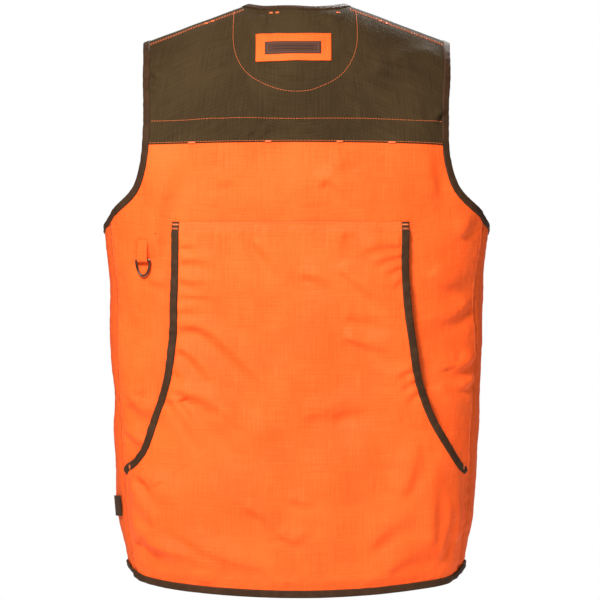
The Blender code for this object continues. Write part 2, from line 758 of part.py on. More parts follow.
def pocket(hand, word, parent):
    """A bellows pocket: a tray open at the top, whose walls stand on the front panel."""
    low = CLOTH / 2 + GAP + 0.0002
    wall = 0.0014
    columns = 7
    rows = 7
    inside = POCKET_DEPTH

    def ring(x, z, offset):
        point = at_x(x, z, FRONT, offset)
        return Vector((hand * point.x, point.y, point.z))

    def grid(near, far, top, bottom, offset):
        points = []
        for row in range(rows + 1):
            for column in range(columns + 1):
                x = mix(near, far, column / columns)
                points.append(ring(x, mix(top, bottom, row / rows), offset))
        return points

    outer_face = grid(POCKET_NEAR, POCKET_FAR, POCKET_TOP, POCKET_BOTTOM, inside + wall)
    inner_face = grid(POCKET_NEAR + wall, POCKET_FAR - wall, POCKET_TOP, POCKET_BOTTOM + wall, inside)
    outer_foot = grid(POCKET_NEAR, POCKET_FAR, POCKET_TOP, POCKET_BOTTOM, low)
    inner_foot = grid(POCKET_NEAR + wall, POCKET_FAR - wall, POCKET_TOP, POCKET_BOTTOM + wall, low)
    width = columns + 1
    count = width * (rows + 1)
    rim = [row * width for row in range(rows + 1)]
    rim += [rows * width + column for column in range(1, columns + 1)]
    rim += [row * width + columns for row in range(rows - 1, -1, -1)]
    vertices = outer_face + inner_face
    vertices += [outer_foot[index] for index in rim] + [inner_foot[index] for index in rim]
    faces = []
    for row in range(rows):
        for column in range(columns):
            first = row * width + column
            quad = (first, first + 1, first + 1 + width, first + width)
            faces.append(quad)
            faces.append(tuple(count + corner for corner in reversed(quad)))
    foot = 2 * count
    length = len(rim)
    for index in range(length - 1):
        here, there = rim[index], rim[index + 1]
        faces.append((here, there, foot + index + 1, foot + index))
        faces.append((count + there, count + here, foot + length + index, foot + length + index + 1))
        faces.append((foot + index, foot + index + 1, foot + length + index + 1, foot + length + index))
    for column in range(columns):
        faces.append((column + 1, column, count + column, count + column + 1))
    faces.append((0, foot, foot + length, count))
    last = columns
    faces.append((last, count + last, foot + 2 * length - 1, foot + length - 1))
    solid_from(f"pocket_{word}", vertices, faces, ORANGE, parent)
    face = ring(SNAP_X, SNAP_Z, inside + wall + 0.0003)
    normal = form_normal(angle_of(SNAP_X, SNAP_Z, FRONT), SNAP_Z)
    normal = Vector((hand * normal.x, normal.y, normal.z))
    disc(f"pocket_snap_{word}", face, normal, 0.0052, 0.0012, BRONZE, parent)


def flap_hinge(hand):
    """The middle of the flap's hinge line, clear of the front panel."""
    middle = at_x((POCKET_NEAR + POCKET_FAR) / 2, FLAP_TOP, FRONT, FLAP_ROOT)
    return Vector((hand * middle.x, middle.y, middle.z))


def pocket_flap(hand, word, front):
    """A flap that steps out over the pocket's depth and hangs down its face."""
    pivot = empty_at(f"flap_axis_{word}", flap_hinge(hand))
    pivot.parent = front
    pivot.matrix_parent_inverse = front.matrix_world.inverted()
    section = [(0.0, FLAP_ROOT), (-0.0010, 0.0140), (-0.0030, 0.0230), (-0.0080, FLAP_OFFSET)]
    section += [(-depth, FLAP_OFFSET) for depth in np.linspace(0.020, FLAP_LENGTH, 5)]
    columns = 8
    rows = len(section)
    vertices = []
    for column in range(columns + 1):
        share = column / columns
        x = mix(POCKET_NEAR - FLAP_OVERHANG, POCKET_FAR + FLAP_OVERHANG, share)
        for fall, offset in section:
            point = at_x(x, FLAP_TOP + fall, FRONT, offset)
            vertices.append(Vector((hand * point.x, point.y, point.z)))
    faces = []
    for column in range(columns):
        for row in range(rows - 1):
            first = column * rows + row
            faces.append((first, first + 1, first + 1 + rows, first + rows))
    flap = solid_from(f"pocket_flap_{word}", vertices, faces, ORANGE, pivot)
    thick = flap.modifiers.new("cloth", "SOLIDIFY")
    thick.thickness = CLOTH
    thick.offset = 0.0
    thick.use_even_offset = True
    face = at_x(SNAP_X, SNAP_Z, FRONT, FLAP_OFFSET + CLOTH / 2 + 0.0003)
    normal = form_normal(angle_of(SNAP_X, SNAP_Z, FRONT), SNAP_Z)
    face = Vector((hand * face.x, face.y, face.z))
    normal = Vector((hand * normal.x, normal.y, normal.z))
    disc(f"flap_snap_{word}", face, normal, 0.0070, 0.0024, BRONZE, pivot)


def fronts():
    for hand, word in ((LEFT, "left"), (RIGHT, "right")):
        yoke = mirrored(front_yoke_place, hand)
        shell(f"front_yoke_{word}", steps((1, 12)), FRONT_YOKE_DOWN, yoke, BROWN)
        top = swing_line(SWING_TOP.z, hand)
        pivot = empty_at(f"swing_axis_{word}", top)
        front_panel(hand, word, pivot)
        zip_parts(hand, word, pivot)
        pocket(hand, word, pivot)
        pocket_flap(hand, word, pivot)
        if hand == LEFT:
            zip_slider(pivot)


clear_scene()
shell("back_yoke", YOKE_ACROSS, YOKE_DOWN, back_yoke_place, BROWN)
shell("back_panel", BACK_ACROSS, BACK_DOWN, back_panel_place, ORANGE)
game_pouch()
labels()
shell("side_panel_left", SIDE_ACROSS, SIDE_DOWN, side_place, ORANGE)
shell("side_panel_right", SIDE_ACROSS, SIDE_DOWN, mirrored(side_place, RIGHT), ORANGE)
side_tag()
d_ring()
hanger_loop()
bindings()
fronts()
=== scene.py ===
from math import pi, radians

import bmesh
import bpy
import numpy as np
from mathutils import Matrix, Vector

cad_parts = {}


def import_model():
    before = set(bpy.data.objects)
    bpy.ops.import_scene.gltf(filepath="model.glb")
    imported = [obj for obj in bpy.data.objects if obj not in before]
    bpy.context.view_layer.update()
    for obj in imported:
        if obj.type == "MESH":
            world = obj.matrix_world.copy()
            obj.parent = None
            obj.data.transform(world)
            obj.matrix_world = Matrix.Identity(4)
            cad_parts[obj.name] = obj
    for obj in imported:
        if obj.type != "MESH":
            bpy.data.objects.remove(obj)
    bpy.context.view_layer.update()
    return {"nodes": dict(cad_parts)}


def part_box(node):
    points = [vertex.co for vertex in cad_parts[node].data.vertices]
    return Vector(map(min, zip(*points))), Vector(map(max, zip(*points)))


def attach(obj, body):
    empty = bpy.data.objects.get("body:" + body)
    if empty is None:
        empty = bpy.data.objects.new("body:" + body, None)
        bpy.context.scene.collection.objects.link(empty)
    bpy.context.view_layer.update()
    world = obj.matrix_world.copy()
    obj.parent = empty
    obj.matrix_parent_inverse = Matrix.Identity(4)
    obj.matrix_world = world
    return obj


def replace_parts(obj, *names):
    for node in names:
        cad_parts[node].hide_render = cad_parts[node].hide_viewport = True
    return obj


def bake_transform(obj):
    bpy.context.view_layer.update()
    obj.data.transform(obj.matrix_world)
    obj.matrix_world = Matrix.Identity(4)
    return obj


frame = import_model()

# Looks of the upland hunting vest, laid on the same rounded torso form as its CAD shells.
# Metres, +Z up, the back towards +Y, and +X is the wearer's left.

BACK = 1
FRONT = -1
LEFT = 1
RIGHT = -1
HANDS = ((LEFT, "left"), (RIGHT, "right"))

# Torso form: half width and half depth by height, and the roll over the shoulders.
FORM_Z = [-0.80, -0.70, -0.66, -0.59, -0.515, -0.46, -0.38, -0.337, -0.29, -0.25, 0.05]
FORM_HALF_WIDTH = [0.205, 0.2185, 0.2265, 0.2325, 0.2345, 0.238, 0.2405, 0.244, 0.2475, 0.25, 0.25]
BACK_DEPTH_Z = [-0.80, -0.62, -0.50, -0.36, -0.24, 0.05]
BACK_DEPTH = [0.124, 0.126, 0.119, 0.122, 0.130, 0.130]
FRONT_DEPTH = 0.118
SQUARENESS = 3.0
ROLL_HEIGHT = 0.18
NECK_HALF_WIDTH = 0.062
SHOULDER_SLOPE = 0.37

# Outlines, as (x, z) on the left side, from the top down.
BACK_ARMHOLE = [
    (0.1965, -0.0498), (0.1960, -0.100), (0.1940, -0.180), (0.1955, -0.200), (0.1990, -0.220),
    (0.2040, -0.236), (0.2120, -0.2500), (0.2240, -0.2622), (0.2376, -0.2740),
]
FRONT_ARMHOLE = [
    (0.1965, -0.0498), (0.1860, -0.086), (0.1780, -0.130), (0.1750, -0.170), (0.1765, -0.200),
    (0.1840, -0.228), (0.1990, -0.252), (0.2276, -0.274),
]
FRONT_NECK = [(0.062, 0.0), (0.0600, -0.025), (0.0510, -0.060), (0.0350, -0.100), (0.0125, -0.1495)]
LEFT_MOUTH = [
    (0.1570, -0.2815), (0.1563, -0.360), (0.1592, -0.430), (0.1670, -0.485), (0.1800, -0.525),
    (0.1930, -0.562), (0.2180, -0.602),
]
RIGHT_MOUTH = [
    (0.1420, -0.2815), (0.1408, -0.350), (0.1482, -0.430), (0.1570, -0.480), (0.1718, -0.525),
    (0.1900, -0.560), (0.2150, -0.602),
]
MOUTH_TOP = LEFT_MOUTH[0][1]
MOUTH_END = LEFT_MOUTH[-1][1]
UNDERARM_Z = -0.2895
BACK_SEAM_SHARE = 0.955
YOKE_SEAM_Z = -0.180
FRONT_SEAM_Z = -0.150
HEM_BACK_Z = -0.7590
HEM_FRONT_Z = -0.7380
HEM_SIDE_Z = -0.7240
POUCH_HEM_RISE = 0.0040
SEAM_UNDER = 0.0040
SEAM_STEP = 0.0015
SEAM_LAP = 0.0011
SIDE_LAP = 0.018
SHOULDER_TURN_Z = -0.0620
SHOULDER_X = 0.19
YOKE_SIDE_X = 0.195
COLLAR_SHARE = 0.158
SWING_TOP = Vector((0.2266, -0.0735, -0.290))
SWING_BOTTOM = Vector((0.1988, -0.0735, -0.735))
FRONT_EDGE = 0.0065

# Layers outwards from the form.
CLOTH = 0.0006
TAPE_THICKNESS = 0.0007
TAPE_REACH = 0.0085
PATCH_LIFT = 0.0016
POUCH_LIFT = 0.0048
POUCH_STAND_OFF = 0.0110
POCKET_DEPTH = 0.024
FLAP_OFFSET = 0.0282
POCKET = (0.036, 0.170, -0.505, -0.690)
FLAP_TOP = -0.494
FLAP_LENGTH = 0.072

# Stitches and tape rows: lengths along the cloth, and how far a thread lies off it.
TAPE_CLEARANCE = 0.0003
TAPE_STEP = 0.0022
STITCH_LIFT = CLOTH / 2 + 0.0001
STITCH_LENGTH = 0.0026
STITCH_GAP = 0.0009
THREAD_RADIUS = 0.00032


# ---- The torso form ------------------------------------------------------------------------------


def curve(at, stations, values):
    """A smooth curve through the stations, which rise, evaluated at an array of places."""
    stations = np.asarray(stations, float)
    values = np.asarray(values, float)
    slopes = np.gradient(values, stations)
    first = np.clip(np.searchsorted(stations, at) - 1, 0, len(stations) - 2)
    run = stations[first + 1] - stations[first]
    t = np.clip((at - stations[first]) / run, 0, 1)
    rise = t * t * (3 - 2 * t)
    ends = (1 - rise) * values[first] + rise * values[first + 1]
    bends = t * (1 - t) ** 2 * slopes[first] - t * t * (1 - t) * slopes[first + 1]
    return ends + bends * run


def half_width(z):
    return curve(z, FORM_Z, FORM_HALF_WIDTH)


def half_depth(z, side):
    return np.where(side > 0, curve(z, BACK_DEPTH_Z, BACK_DEPTH), FRONT_DEPTH)


def ridge_z(x):
    """Height of the shoulder line, which is rounded across the neck."""
    middle = SHOULDER_SLOPE * (NECK_HALF_WIDTH ** 2 - x * x) / (2 * NECK_HALF_WIDTH)
    return np.where(np.abs(x) < NECK_HALF_WIDTH, middle, -SHOULDER_SLOPE * (np.abs(x) - NECK_HALF_WIDTH))


def roll_share(x, z):
    return np.clip((ridge_z(x) - z) / ROLL_HEIGHT, 0, 1)


def roll(x, z):
    """Share of the full depth, squared, as the form rolls over the shoulder line."""
    t = roll_share(x, z)
    return 2 * t - t * t


def drape(x, z):
    """Distance down over the form from the shoulder line."""
    t = np.maximum((ridge_z(x) - z) / ROLL_HEIGHT, 0)
    return ROLL_HEIGHT * np.where(t <= 1, np.arccos(1 - np.minimum(t, 1)), pi / 2 + t - 1)


def drop(x, distance):
    """The height that lies a distance down over the form from the shoulder line."""
    turn = distance / ROLL_HEIGHT
    return ridge_z(x) - ROLL_HEIGHT * np.where(turn <= pi / 2, 1 - np.cos(turn), turn - pi / 2 + 1)


def flatness(x, z):
    share = np.minimum(np.abs(x) / half_width(z), 1)
    return (1 - share ** SQUARENESS) ** (1 / SQUARENESS)


def angle_of(x, z, side):
    """The form's polar angle at x: 0 at the left side, positive on the back."""
    return np.arctan2(side * half_depth(z, side) * flatness(x, z), x)


def form_point(angle, z):
    side = np.where(np.sin(angle) >= 0, BACK, FRONT)
    across = np.abs(np.cos(angle)) / half_width(z)
    along = np.abs(np.sin(angle)) / half_depth(z, side)
    reach = (across ** SQUARENESS + along ** SQUARENESS) ** (-1 / SQUARENESS)
    x = reach * np.cos(angle)
    return np.stack([x, reach * np.sin(angle) * np.sqrt(roll(x, z)), z + 0 * x], axis=1)


def form_normal(angle, z):
    """The gradient of the form's implicit function, which holds at the sides and the ridge too."""
    point = form_point(angle, z)
    x = point[:, 0]
    side = np.where(np.sin(angle) >= 0, BACK, FRONT)
    width = half_width(z)
    depth = half_depth(z, side)
    share = np.abs(x) / width
    flat = flatness(x, z)
    rolled = roll(x, z)
    step = 0.001
    ridge_slope = (ridge_z(x + step) - ridge_z(x - step)) / (2 * step)
    width_slope = (half_width(z + step) - half_width(z - step)) / (2 * step)
    depth_slope = (half_depth(z + step, side) - half_depth(z - step, side)) / (2 * step)
    solid = flat ** SQUARENESS
    turn = 2 * (1 - roll_share(x, z)) / ROLL_HEIGHT
    side_pull = 2 * share ** (SQUARENESS - 1) / width * rolled
    gx = depth ** 2 * (side_pull * np.sign(x) - solid * turn * ridge_slope)
    gy = 2 * point[:, 1] * flat ** (SQUARENESS - 2)
    gz = depth ** 2 * (solid * turn - side_pull * share * width_slope)
    gz = gz - 2 * depth * depth_slope * solid * rolled
    normal = np.stack([gx, gy, gz], axis=1)
    return normal / np.linalg.norm(normal, axis=1)[:, None]


def outline_x(outline, z):
    heights = [point[1] for point in outline][::-1]
    widths = [point[0] for point in outline][::-1]
    return curve(z, heights, widths)


def mix(low, high, share):
    return low + (high - low) * share


def hem_z(x, side=BACK):
    """The hem drops at the back and rises at the sides."""
    share = np.minimum(np.abs(x) / half_width(-0.74), 1)
    centre = HEM_BACK_Z if side == BACK else HEM_FRONT_Z
    dip = 0.0185 * share ** 2 if side == BACK else 0.0
    return centre + dip + (HEM_SIDE_Z - centre - dip) * share ** 30


def swing_x(z):
    """x of the left front's swing line at a height."""
    return mix(SWING_TOP.x, SWING_BOTTOM.x, (z - SWING_TOP.z) / (SWING_BOTTOM.z - SWING_TOP.z))


# ---- Folds in the cloth --------------------------------------------------------------------------

# Each fold is (points, width, height): a ridge along a smooth line through (x, z). It starts sharp
# and fades out wider, and its steep side looks down and to the right of the back view.
STEEP_SIDE = np.array([-0.7, -1.0])
POUCH_FOLDS = [
    ([(0.149, -0.312), (0.134, -0.309), (0.115, -0.315)], 0.005, 0.0022),
    ([(0.149, -0.330), (0.125, -0.327), (0.092, -0.337)], 0.006, 0.0028),
    ([(0.149, -0.352), (0.128, -0.355), (0.102, -0.352)], 0.006, 0.0026),
    ([(0.149, -0.374), (0.118, -0.373), (0.090, -0.377)], 0.005, 0.0016),
    ([(0.150, -0.392), (0.130, -0.391), (0.112, -0.395)], 0.005, 0.0018),
    ([(0.151, -0.413), (0.123, -0.413), (0.100, -0.426), (0.060, -0.464), (0.025, -0.495), (-0.010, -0.520)],
     0.008, 0.0040),
    ([(0.152, -0.438), (0.130, -0.450), (0.108, -0.473), (0.090, -0.496)], 0.007, 0.0042),
    ([(0.155, -0.466), (0.144, -0.474), (0.132, -0.488)], 0.005, 0.0020),
    ([(0.158, -0.490), (0.137, -0.498), (0.104, -0.511), (0.077, -0.533), (0.043, -0.551), (0.018, -0.545)],
     0.008, 0.0040),
    ([(0.161, -0.497), (0.144, -0.521), (0.126, -0.551), (0.114, -0.586)], 0.007, 0.0044),
    ([(0.165, -0.512), (0.150, -0.545), (0.134, -0.578), (0.118, -0.600)], 0.007, 0.0026),
    ([(0.104, -0.528), (0.066, -0.562), (0.045, -0.586)], 0.012, 0.0036),
    ([(0.056, -0.301), (0.034, -0.323), (0.014, -0.342), (-0.008, -0.359)], 0.010, 0.0034),
    ([(-0.004, -0.346), (-0.034, -0.351), (-0.072, -0.366)], 0.008, 0.0030),
    ([(-0.060, -0.288), (-0.050, -0.316), (-0.058, -0.340)], 0.011, 0.0026),
    ([(-0.052, -0.336), (-0.078, -0.356), (-0.105, -0.374), (-0.136, -0.386)], 0.009, 0.0036),
    ([(-0.136, -0.309), (-0.098, -0.310), (-0.070, -0.324)], 0.006, 0.0030),
    ([(-0.136, -0.322), (-0.110, -0.325), (-0.088, -0.333)], 0.005, 0.0026),
    ([(-0.136, -0.336), (-0.120, -0.339), (-0.106, -0.347)], 0.004, 0.0022),
    ([(-0.136, -0.352), (-0.124, -0.357), (-0.116, -0.366)], 0.004, 0.0020),
    ([(-0.056, -0.398), (-0.096, -0.400), (-0.136, -0.405)], 0.009, 0.0020),
    ([(-0.058, -0.426), (-0.096, -0.436), (-0.140, -0.448)], 0.008, 0.0044),
    ([(-0.146, -0.466), (-0.128, -0.474), (-0.116, -0.486)], 0.005, 0.0026),
    ([(-0.150, -0.480), (-0.132, -0.488), (-0.120, -0.502)], 0.005, 0.0024),
    ([(-0.154, -0.494), (-0.138, -0.503), (-0.128, -0.520)], 0.005, 0.0022),
    ([(-0.008, -0.528), (-0.043, -0.516), (-0.078, -0.490)], 0.010, 0.0026),
    ([(-0.040, -0.530), (-0.078, -0.514), (-0.134, -0.519)], 0.010, 0.0030),
    ([(0.186, -0.600), (0.160, -0.625), (0.132, -0.656)], 0.009, 0.0030),
    ([(0.206, -0.612), (0.190, -0.642), (0.172, -0.682)], 0.007, 0.0040),
    ([(0.196, -0.602), (0.178, -0.622), (0.166, -0.645)], 0.006, 0.0030),
    ([(0.205, -0.655), (0.180, -0.690), (0.130, -0.722), (0.085, -0.744)], 0.009, 0.0036),
    ([(0.190, -0.690), (0.150, -0.700), (0.100, -0.717), (0.055, -0.735)], 0.008, 0.0034),
    ([(0.155, -0.672), (0.095, -0.705), (0.040, -0.719), (0.005, -0.722)], 0.009, 0.0030),
    ([(0.066, -0.642), (0.040, -0.655), (0.022, -0.671)], 0.007, 0.0030),
    ([(0.025, -0.676), (0.000, -0.684), (-0.018, -0.662)], 0.006, 0.0022),
    ([(0.010, -0.632), (-0.010, -0.636), (-0.030, -0.630)], 0.006, 0.0020),
    ([(-0.090, -0.696), (-0.120, -0.664), (-0.168, -0.640)], 0.010, 0.0030),
    ([(-0.130, -0.630), (-0.142, -0.590), (-0.150, -0.545)], 0.010, 0.0040),
    ([(-0.166, -0.700), (-0.164, -0.640), (-0.162, -0.575)], 0.009, 0.0050),
    ([(-0.176, -0.712), (-0.184, -0.656), (-0.175, -0.595)], 0.008, 0.0050),
    ([(-0.200, -0.690), (-0.200, -0.650), (-0.192, -0.612)], 0.007, 0.0036),
    ([(-0.110, -0.728), (-0.140, -0.706), (-0.190, -0.690)], 0.008, 0.0028),
]
BACK_FOLDS = [
    ([(0.180, -0.330), (0.178, -0.275), (0.166, -0.225), (0.152, -0.190)], 0.012, 0.0046),
    ([(0.102, -0.232), (0.084, -0.226), (0.066, -0.232)], 0.009, 0.0018),
    ([(-0.024, -0.235), (-0.043, -0.227), (-0.068, -0.247), (-0.100, -0.272)], 0.008, 0.0030),
    ([(-0.050, -0.214), (-0.064, -0.192)], 0.010, 0.0020),
    ([(-0.176, -0.250), (-0.166, -0.215), (-0.160, -0.192)], 0.010, 0.0028),
    ([(0.186, -0.355), (0.172, -0.357), (0.160, -0.354)], 0.006, 0.0020),
    ([(0.212, -0.500), (0.195, -0.520), (0.176, -0.512)], 0.007, 0.0030),
    ([(0.216, -0.545), (0.200, -0.560), (0.190, -0.552)], 0.006, 0.0026),
    ([(-0.224, -0.380), (-0.196, -0.400), (-0.162, -0.398)], 0.009, 0.0040),
    ([(-0.170, -0.345), (-0.192, -0.358), (-0.218, -0.342)], 0.010, 0.0034),
    ([(-0.226, -0.450), (-0.205, -0.465), (-0.196, -0.440)], 0.007, 0.0034),
    ([(-0.160, -0.498), (-0.188, -0.524), (-0.214, -0.552)], 0.008, 0.0044),
    ([(-0.176, -0.490), (-0.196, -0.512), (-0.220, -0.524)], 0.007, 0.0036),
    ([(-0.226, -0.480), (-0.212, -0.490), (-0.200, -0.484)], 0.005, 0.0028),
    ([(-0.206, -0.300), (-0.214, -0.285), (-0.210, -0.268)], 0.008, 0.0030),
    ([(0.188, -0.087), (0.176, -0.094), (0.166, -0.092)], 0.005, 0.0034),
    ([(0.190, -0.110), (0.180, -0.112), (0.170, -0.108)], 0.004, 0.0026),
    ([(0.038, -0.020), (0.046, -0.030), (0.052, -0.044)], 0.007, 0.0028),
    ([(-0.026, -0.018), (-0.046, -0.020), (-0.056, -0.028)], 0.006, 0.0026),
    ([(0.024, -0.092), (0.000, -0.094), (-0.020, -0.084)], 0.007, 0.0026),
    ([(-0.092, -0.088), (-0.140, -0.092), (-0.184, -0.104)], 0.009, 0.0048),
    ([(-0.120, -0.072), (-0.160, -0.070), (-0.186, -0.076)], 0.008, 0.0030),
    ([(0.040, -0.174), (0.052, -0.158), (0.066, -0.126)], 0.009, 0.0022),
    ([(-0.010, -0.156), (-0.030, -0.168), (-0.050, -0.178)], 0.008, 0.0022),
    ([(0.100, -0.168), (0.110, -0.150), (0.120, -0.120)], 0.012, 0.0020),
    ([(-0.188, -0.140), (-0.178, -0.148), (-0.172, -0.156)], 0.004, 0.0028),
]
FRONT_FOLDS = [
    ([(0.170, -0.170), (0.130, -0.215), (0.080, -0.240), (0.030, -0.250)], 0.012, 0.0040),
    ([(0.195, -0.262), (0.160, -0.300), (0.120, -0.330)], 0.010, 0.0040),
    ([(0.150, -0.340), (0.110, -0.400), (0.060, -0.430)], 0.014, 0.0036),
    ([(0.050, -0.300), (0.045, -0.370), (0.060, -0.440)], 0.012, 0.0030),
    ([(0.120, -0.070), (0.100, -0.120), (0.060, -0.150)], 0.012, 0.0030),
]
WAVE_SEEDS = {"broad": 11, "mid": 23, "pucker": 47}
FOLD_DEPTH = 1.35


def smooth_step(value, low, high):
    t = np.clip((value - low) / (high - low), 0, 1)
    return t * t * (3 - 2 * t)


def waves(points, length, name, count=14):
    """Smooth seeded noise about zero: waves of about one length in every direction."""
    random = np.random.default_rng(WAVE_SEEDS[name])
    total = np.zeros(len(points))
    for _ in range(count):
        direction = random.normal(size=3)
        direction /= np.linalg.norm(direction)
        size = 2 * pi / (length * random.uniform(0.75, 1.35))
        total += np.sin(points @ direction * size + random.uniform(0, 2 * pi))
    return total / np.sqrt(count / 2)


def soft_waves(points, broad, mid):
    """Two sizes of wave, each as (height, length)."""
    return broad[0] * waves(points, broad[1], "broad") + mid[0] * waves(points, mid[1], "mid")


def line_through(points, samples=18):
    """Points along a smooth curve through a fold's own points."""
    points = np.array(points, float)
    at = np.linspace(0, len(points) - 1, samples)
    stations = np.arange(len(points))
    bent = np.interp if len(points) == 2 else curve
    return np.stack([bent(at, stations, points[:, axis]) for axis in (0, 1)], axis=1)


def ridge(x, z, points, width, height):
    """One fold's height over arrays of x and z."""
    line = line_through(points)
    nearest = np.full(len(x), 1e9)
    side = np.zeros(len(x))
    share = np.zeros(len(x))
    for index, (start, end) in enumerate(zip(line[:-1], line[1:])):
        run = end - start
        dx = x - start[0]
        dz = z - start[1]
        t = np.clip((dx * run[0] + dz * run[1]) / (run @ run), 0, 1)
        away = np.hypot(dx - t * run[0], dz - t * run[1])
        closer = away < nearest
        nearest = np.where(closer, away, nearest)
        facing = np.array([run[1], -run[0]])
        facing *= np.sign(facing @ STEEP_SIDE)
        side = np.where(closer, dx * facing[0] + dz * facing[1], side)
        share = np.where(closer, (index + t) / (len(line) - 1), share)
    spread = width * (0.75 + 0.9 * share)
    steep = np.where(side > 0, 0.75, 1.7)
    fade = smooth_step(share, -0.05, 0.15) * (1 - smooth_step(share, 0.45, 1.05))
    dip = 0.35 * np.exp(-((nearest - 1.6 * spread) / (0.8 * spread)) ** 2) * (side > 0)
    return FOLD_DEPTH * height * fade * (np.exp(-(nearest / (steep * spread)) ** 2) - dip)


def folds(x, z, listed):
    total = np.zeros(len(x))
    for points, width, height in listed:
        line = np.array(points)
        margin = 5 * width
        near = (x > line[:, 0].min() - margin) & (x < line[:, 0].max() + margin)
        near &= (z > line[:, 1].min() - margin) & (z < line[:, 1].max() + margin)
        if near.any():
            total[near] += ridge(x[near], z[near], points, width, height)
    return total


def puckers(points, distance, reach, height):
    """Short gathers that die away from a sewn edge."""
    return height * waves(points, 0.011, "pucker") * np.exp(-np.abs(distance) / reach)


def armhole_distance(x, z, side):
    edge = np.where(side > 0, outline_x(BACK_ARMHOLE, z), outline_x(FRONT_ARMHOLE, z))
    return np.abs(edge - np.abs(x)) + np.maximum(-0.27 - z, 0)


def base_lift(angle, z):
    """How far the body's own cloth lies off the form: soft waves, folds, and puckers at the seams."""
    point = form_point(angle, z)
    x = point[:, 0]
    side = np.where(np.sin(angle) >= 0, BACK, FRONT)
    lift = soft_waves(point, (0.0012, 0.115), (0.0004, 0.046))
    back = side > 0
    lift[back] += folds(x[back], z[back], BACK_FOLDS)
    lift[~back] += folds(np.abs(x[~back]), z[~back], FRONT_FOLDS)
    lift += puckers(point, armhole_distance(x, z, side), 0.010, 0.0003)
    hem = np.where(back, hem_z(x), hem_z(x, FRONT))
    lift += puckers(point, z - hem, 0.018, 0.0002)
    seam = np.abs(np.abs(x) - BACK_SEAM_SHARE * half_width(z)) + np.maximum(z + 0.27, 0)
    lift += puckers(point, seam, 0.009, 0.0004)
    calm = smooth_step(ridge_z(x) - z, 0.0, 0.03)
    return lift * (0.25 + 0.75 * calm)


def pouch_edges(z):
    right = -np.minimum(outline_x(RIGHT_MOUTH, z), BACK_SEAM_SHARE * half_width(z) - 0.0005)
    left = np.minimum(outline_x(LEFT_MOUTH, z), BACK_SEAM_SHARE * half_width(z) - 0.0005)
    return right, left


def pouch_lift(angle, z):
    """The game pouch stands off the back, widest at its mouths, and carries its own folds."""
    point = form_point(angle, z)
    x = point[:, 0]
    down = np.clip((MOUTH_TOP - z) / (MOUTH_TOP - HEM_BACK_Z), 0, 1)
    share = np.minimum(np.abs(x) / half_width(z) / BACK_SEAM_SHARE, 1)
    lift = POUCH_LIFT + POUCH_STAND_OFF * np.sin(pi * down) * (1 - share ** 6)
    right, left = pouch_edges(z)
    side_edge = np.minimum(left - x, x - right) + np.maximum(MOUTH_END - z, 0) * 0.6
    edge = np.minimum(side_edge, MOUTH_TOP - z)
    hem = z - hem_z(x) - POUCH_HEM_RISE
    free = smooth_step(MOUTH_TOP - z, 0.0, 0.014) * smooth_step(hem, 0.0, 0.018)
    closed = smooth_step(MOUTH_END + 0.020 - z, 0.0, 0.040)
    free *= mix(1.0, smooth_step(np.minimum(left - x, x - right), 0.0, 0.014), closed)
    own = soft_waves(point, (0.0018, 0.110), (0.0006, 0.048))
    own += folds(x, z, POUCH_FOLDS) * smooth_step(edge, 0.004, 0.014)
    own += puckers(point, edge, 0.011, 0.0006) + puckers(point, hem, 0.016, 0.0006)
    under = base_lift(angle, z)
    sewn = under + 0.0012
    lift = sewn + (lift + own - sewn) * free
    return np.maximum(lift, under + 0.0010)


def place(angle, z, offset=0.0):
    """Points on the body's own cloth, with their folds, at an offset outwards."""
    return form_point(angle, z) + form_normal(angle, z) * (base_lift(angle, z) + offset)[:, None]


def pouch_point(angle, z, offset=0.0):
    return form_point(angle, z) + form_normal(angle, z) * (pouch_lift(angle, z) + offset)[:, None]


# ---- Mesh builders -------------------------------------------------------------------------------


def add_object(name, data):
    item = bpy.data.objects.new(name, data)
    bpy.context.scene.collection.objects.link(item)
    return item


def add_mesh(name, vertices, faces, material, uv=None, smooth=True):
    mesh = bpy.data.meshes.new(name)
    mesh.from_pydata(np.asarray(vertices).tolist(), [], faces)
    if uv is not None:
        layer = mesh.uv_layers.new(name="cloth")
        corners = np.zeros(len(mesh.loops), np.int32)
        mesh.loops.foreach_get("vertex_index", corners)
        layer.data.foreach_set("uv", np.asarray(uv, np.float32)[corners].ravel())
    if smooth:
        mesh.shade_smooth()
    mesh.materials.append(material)
    return add_object(name, mesh)


def grid_faces(columns, rows, turned=False):
    """Quads over a grid of columns by rows, whose points run along each row in turn."""
    row, column = np.meshgrid(np.arange(rows), np.arange(columns), indexing="ij")
    first = (row * (columns + 1) + column).ravel()
    quads = np.stack([first, first + 1, first + columns + 2, first + columns + 1], axis=1)
    return (quads[:, ::-1] if turned else quads).tolist()


def cloth_uv(points, columns, rows):
    """Lengths along the cloth both ways, in metres, so that the weave keeps its size."""
    grid = points.reshape(rows + 1, columns + 1, 3)
    across = np.cumsum(np.linalg.norm(np.diff(grid, axis=1, prepend=grid[:, :1]), axis=2), axis=1)
    across -= across[:, columns // 2][:, None]
    down = np.cumsum(np.linalg.norm(np.diff(grid, axis=0, prepend=grid[:1]), axis=2), axis=0)
    return np.stack([across.ravel(), -down.ravel()], axis=1)


def thicken(item, thickness=CLOTH):
    solid = item.modifiers.new("thickness", "SOLIDIFY")
    solid.thickness = thickness
    solid.offset = 0.0
    return item


def stations(count):
    return np.linspace(0, 1, count + 1)


def panel(name, locate, columns, rows, material, surface, turned=False):
    """A cloth panel: locate(u, v) gives angle and height, and surface lays them on the body."""
    u, v = np.meshgrid(stations(columns), stations(rows))
    angle, z = locate(u.ravel(), v.ravel())
    points = surface(angle, z)
    uv = cloth_uv(form_point(angle, z), columns, rows)
    return thicken(add_mesh(name, points, grid_faces(columns, rows, turned), material, uv))


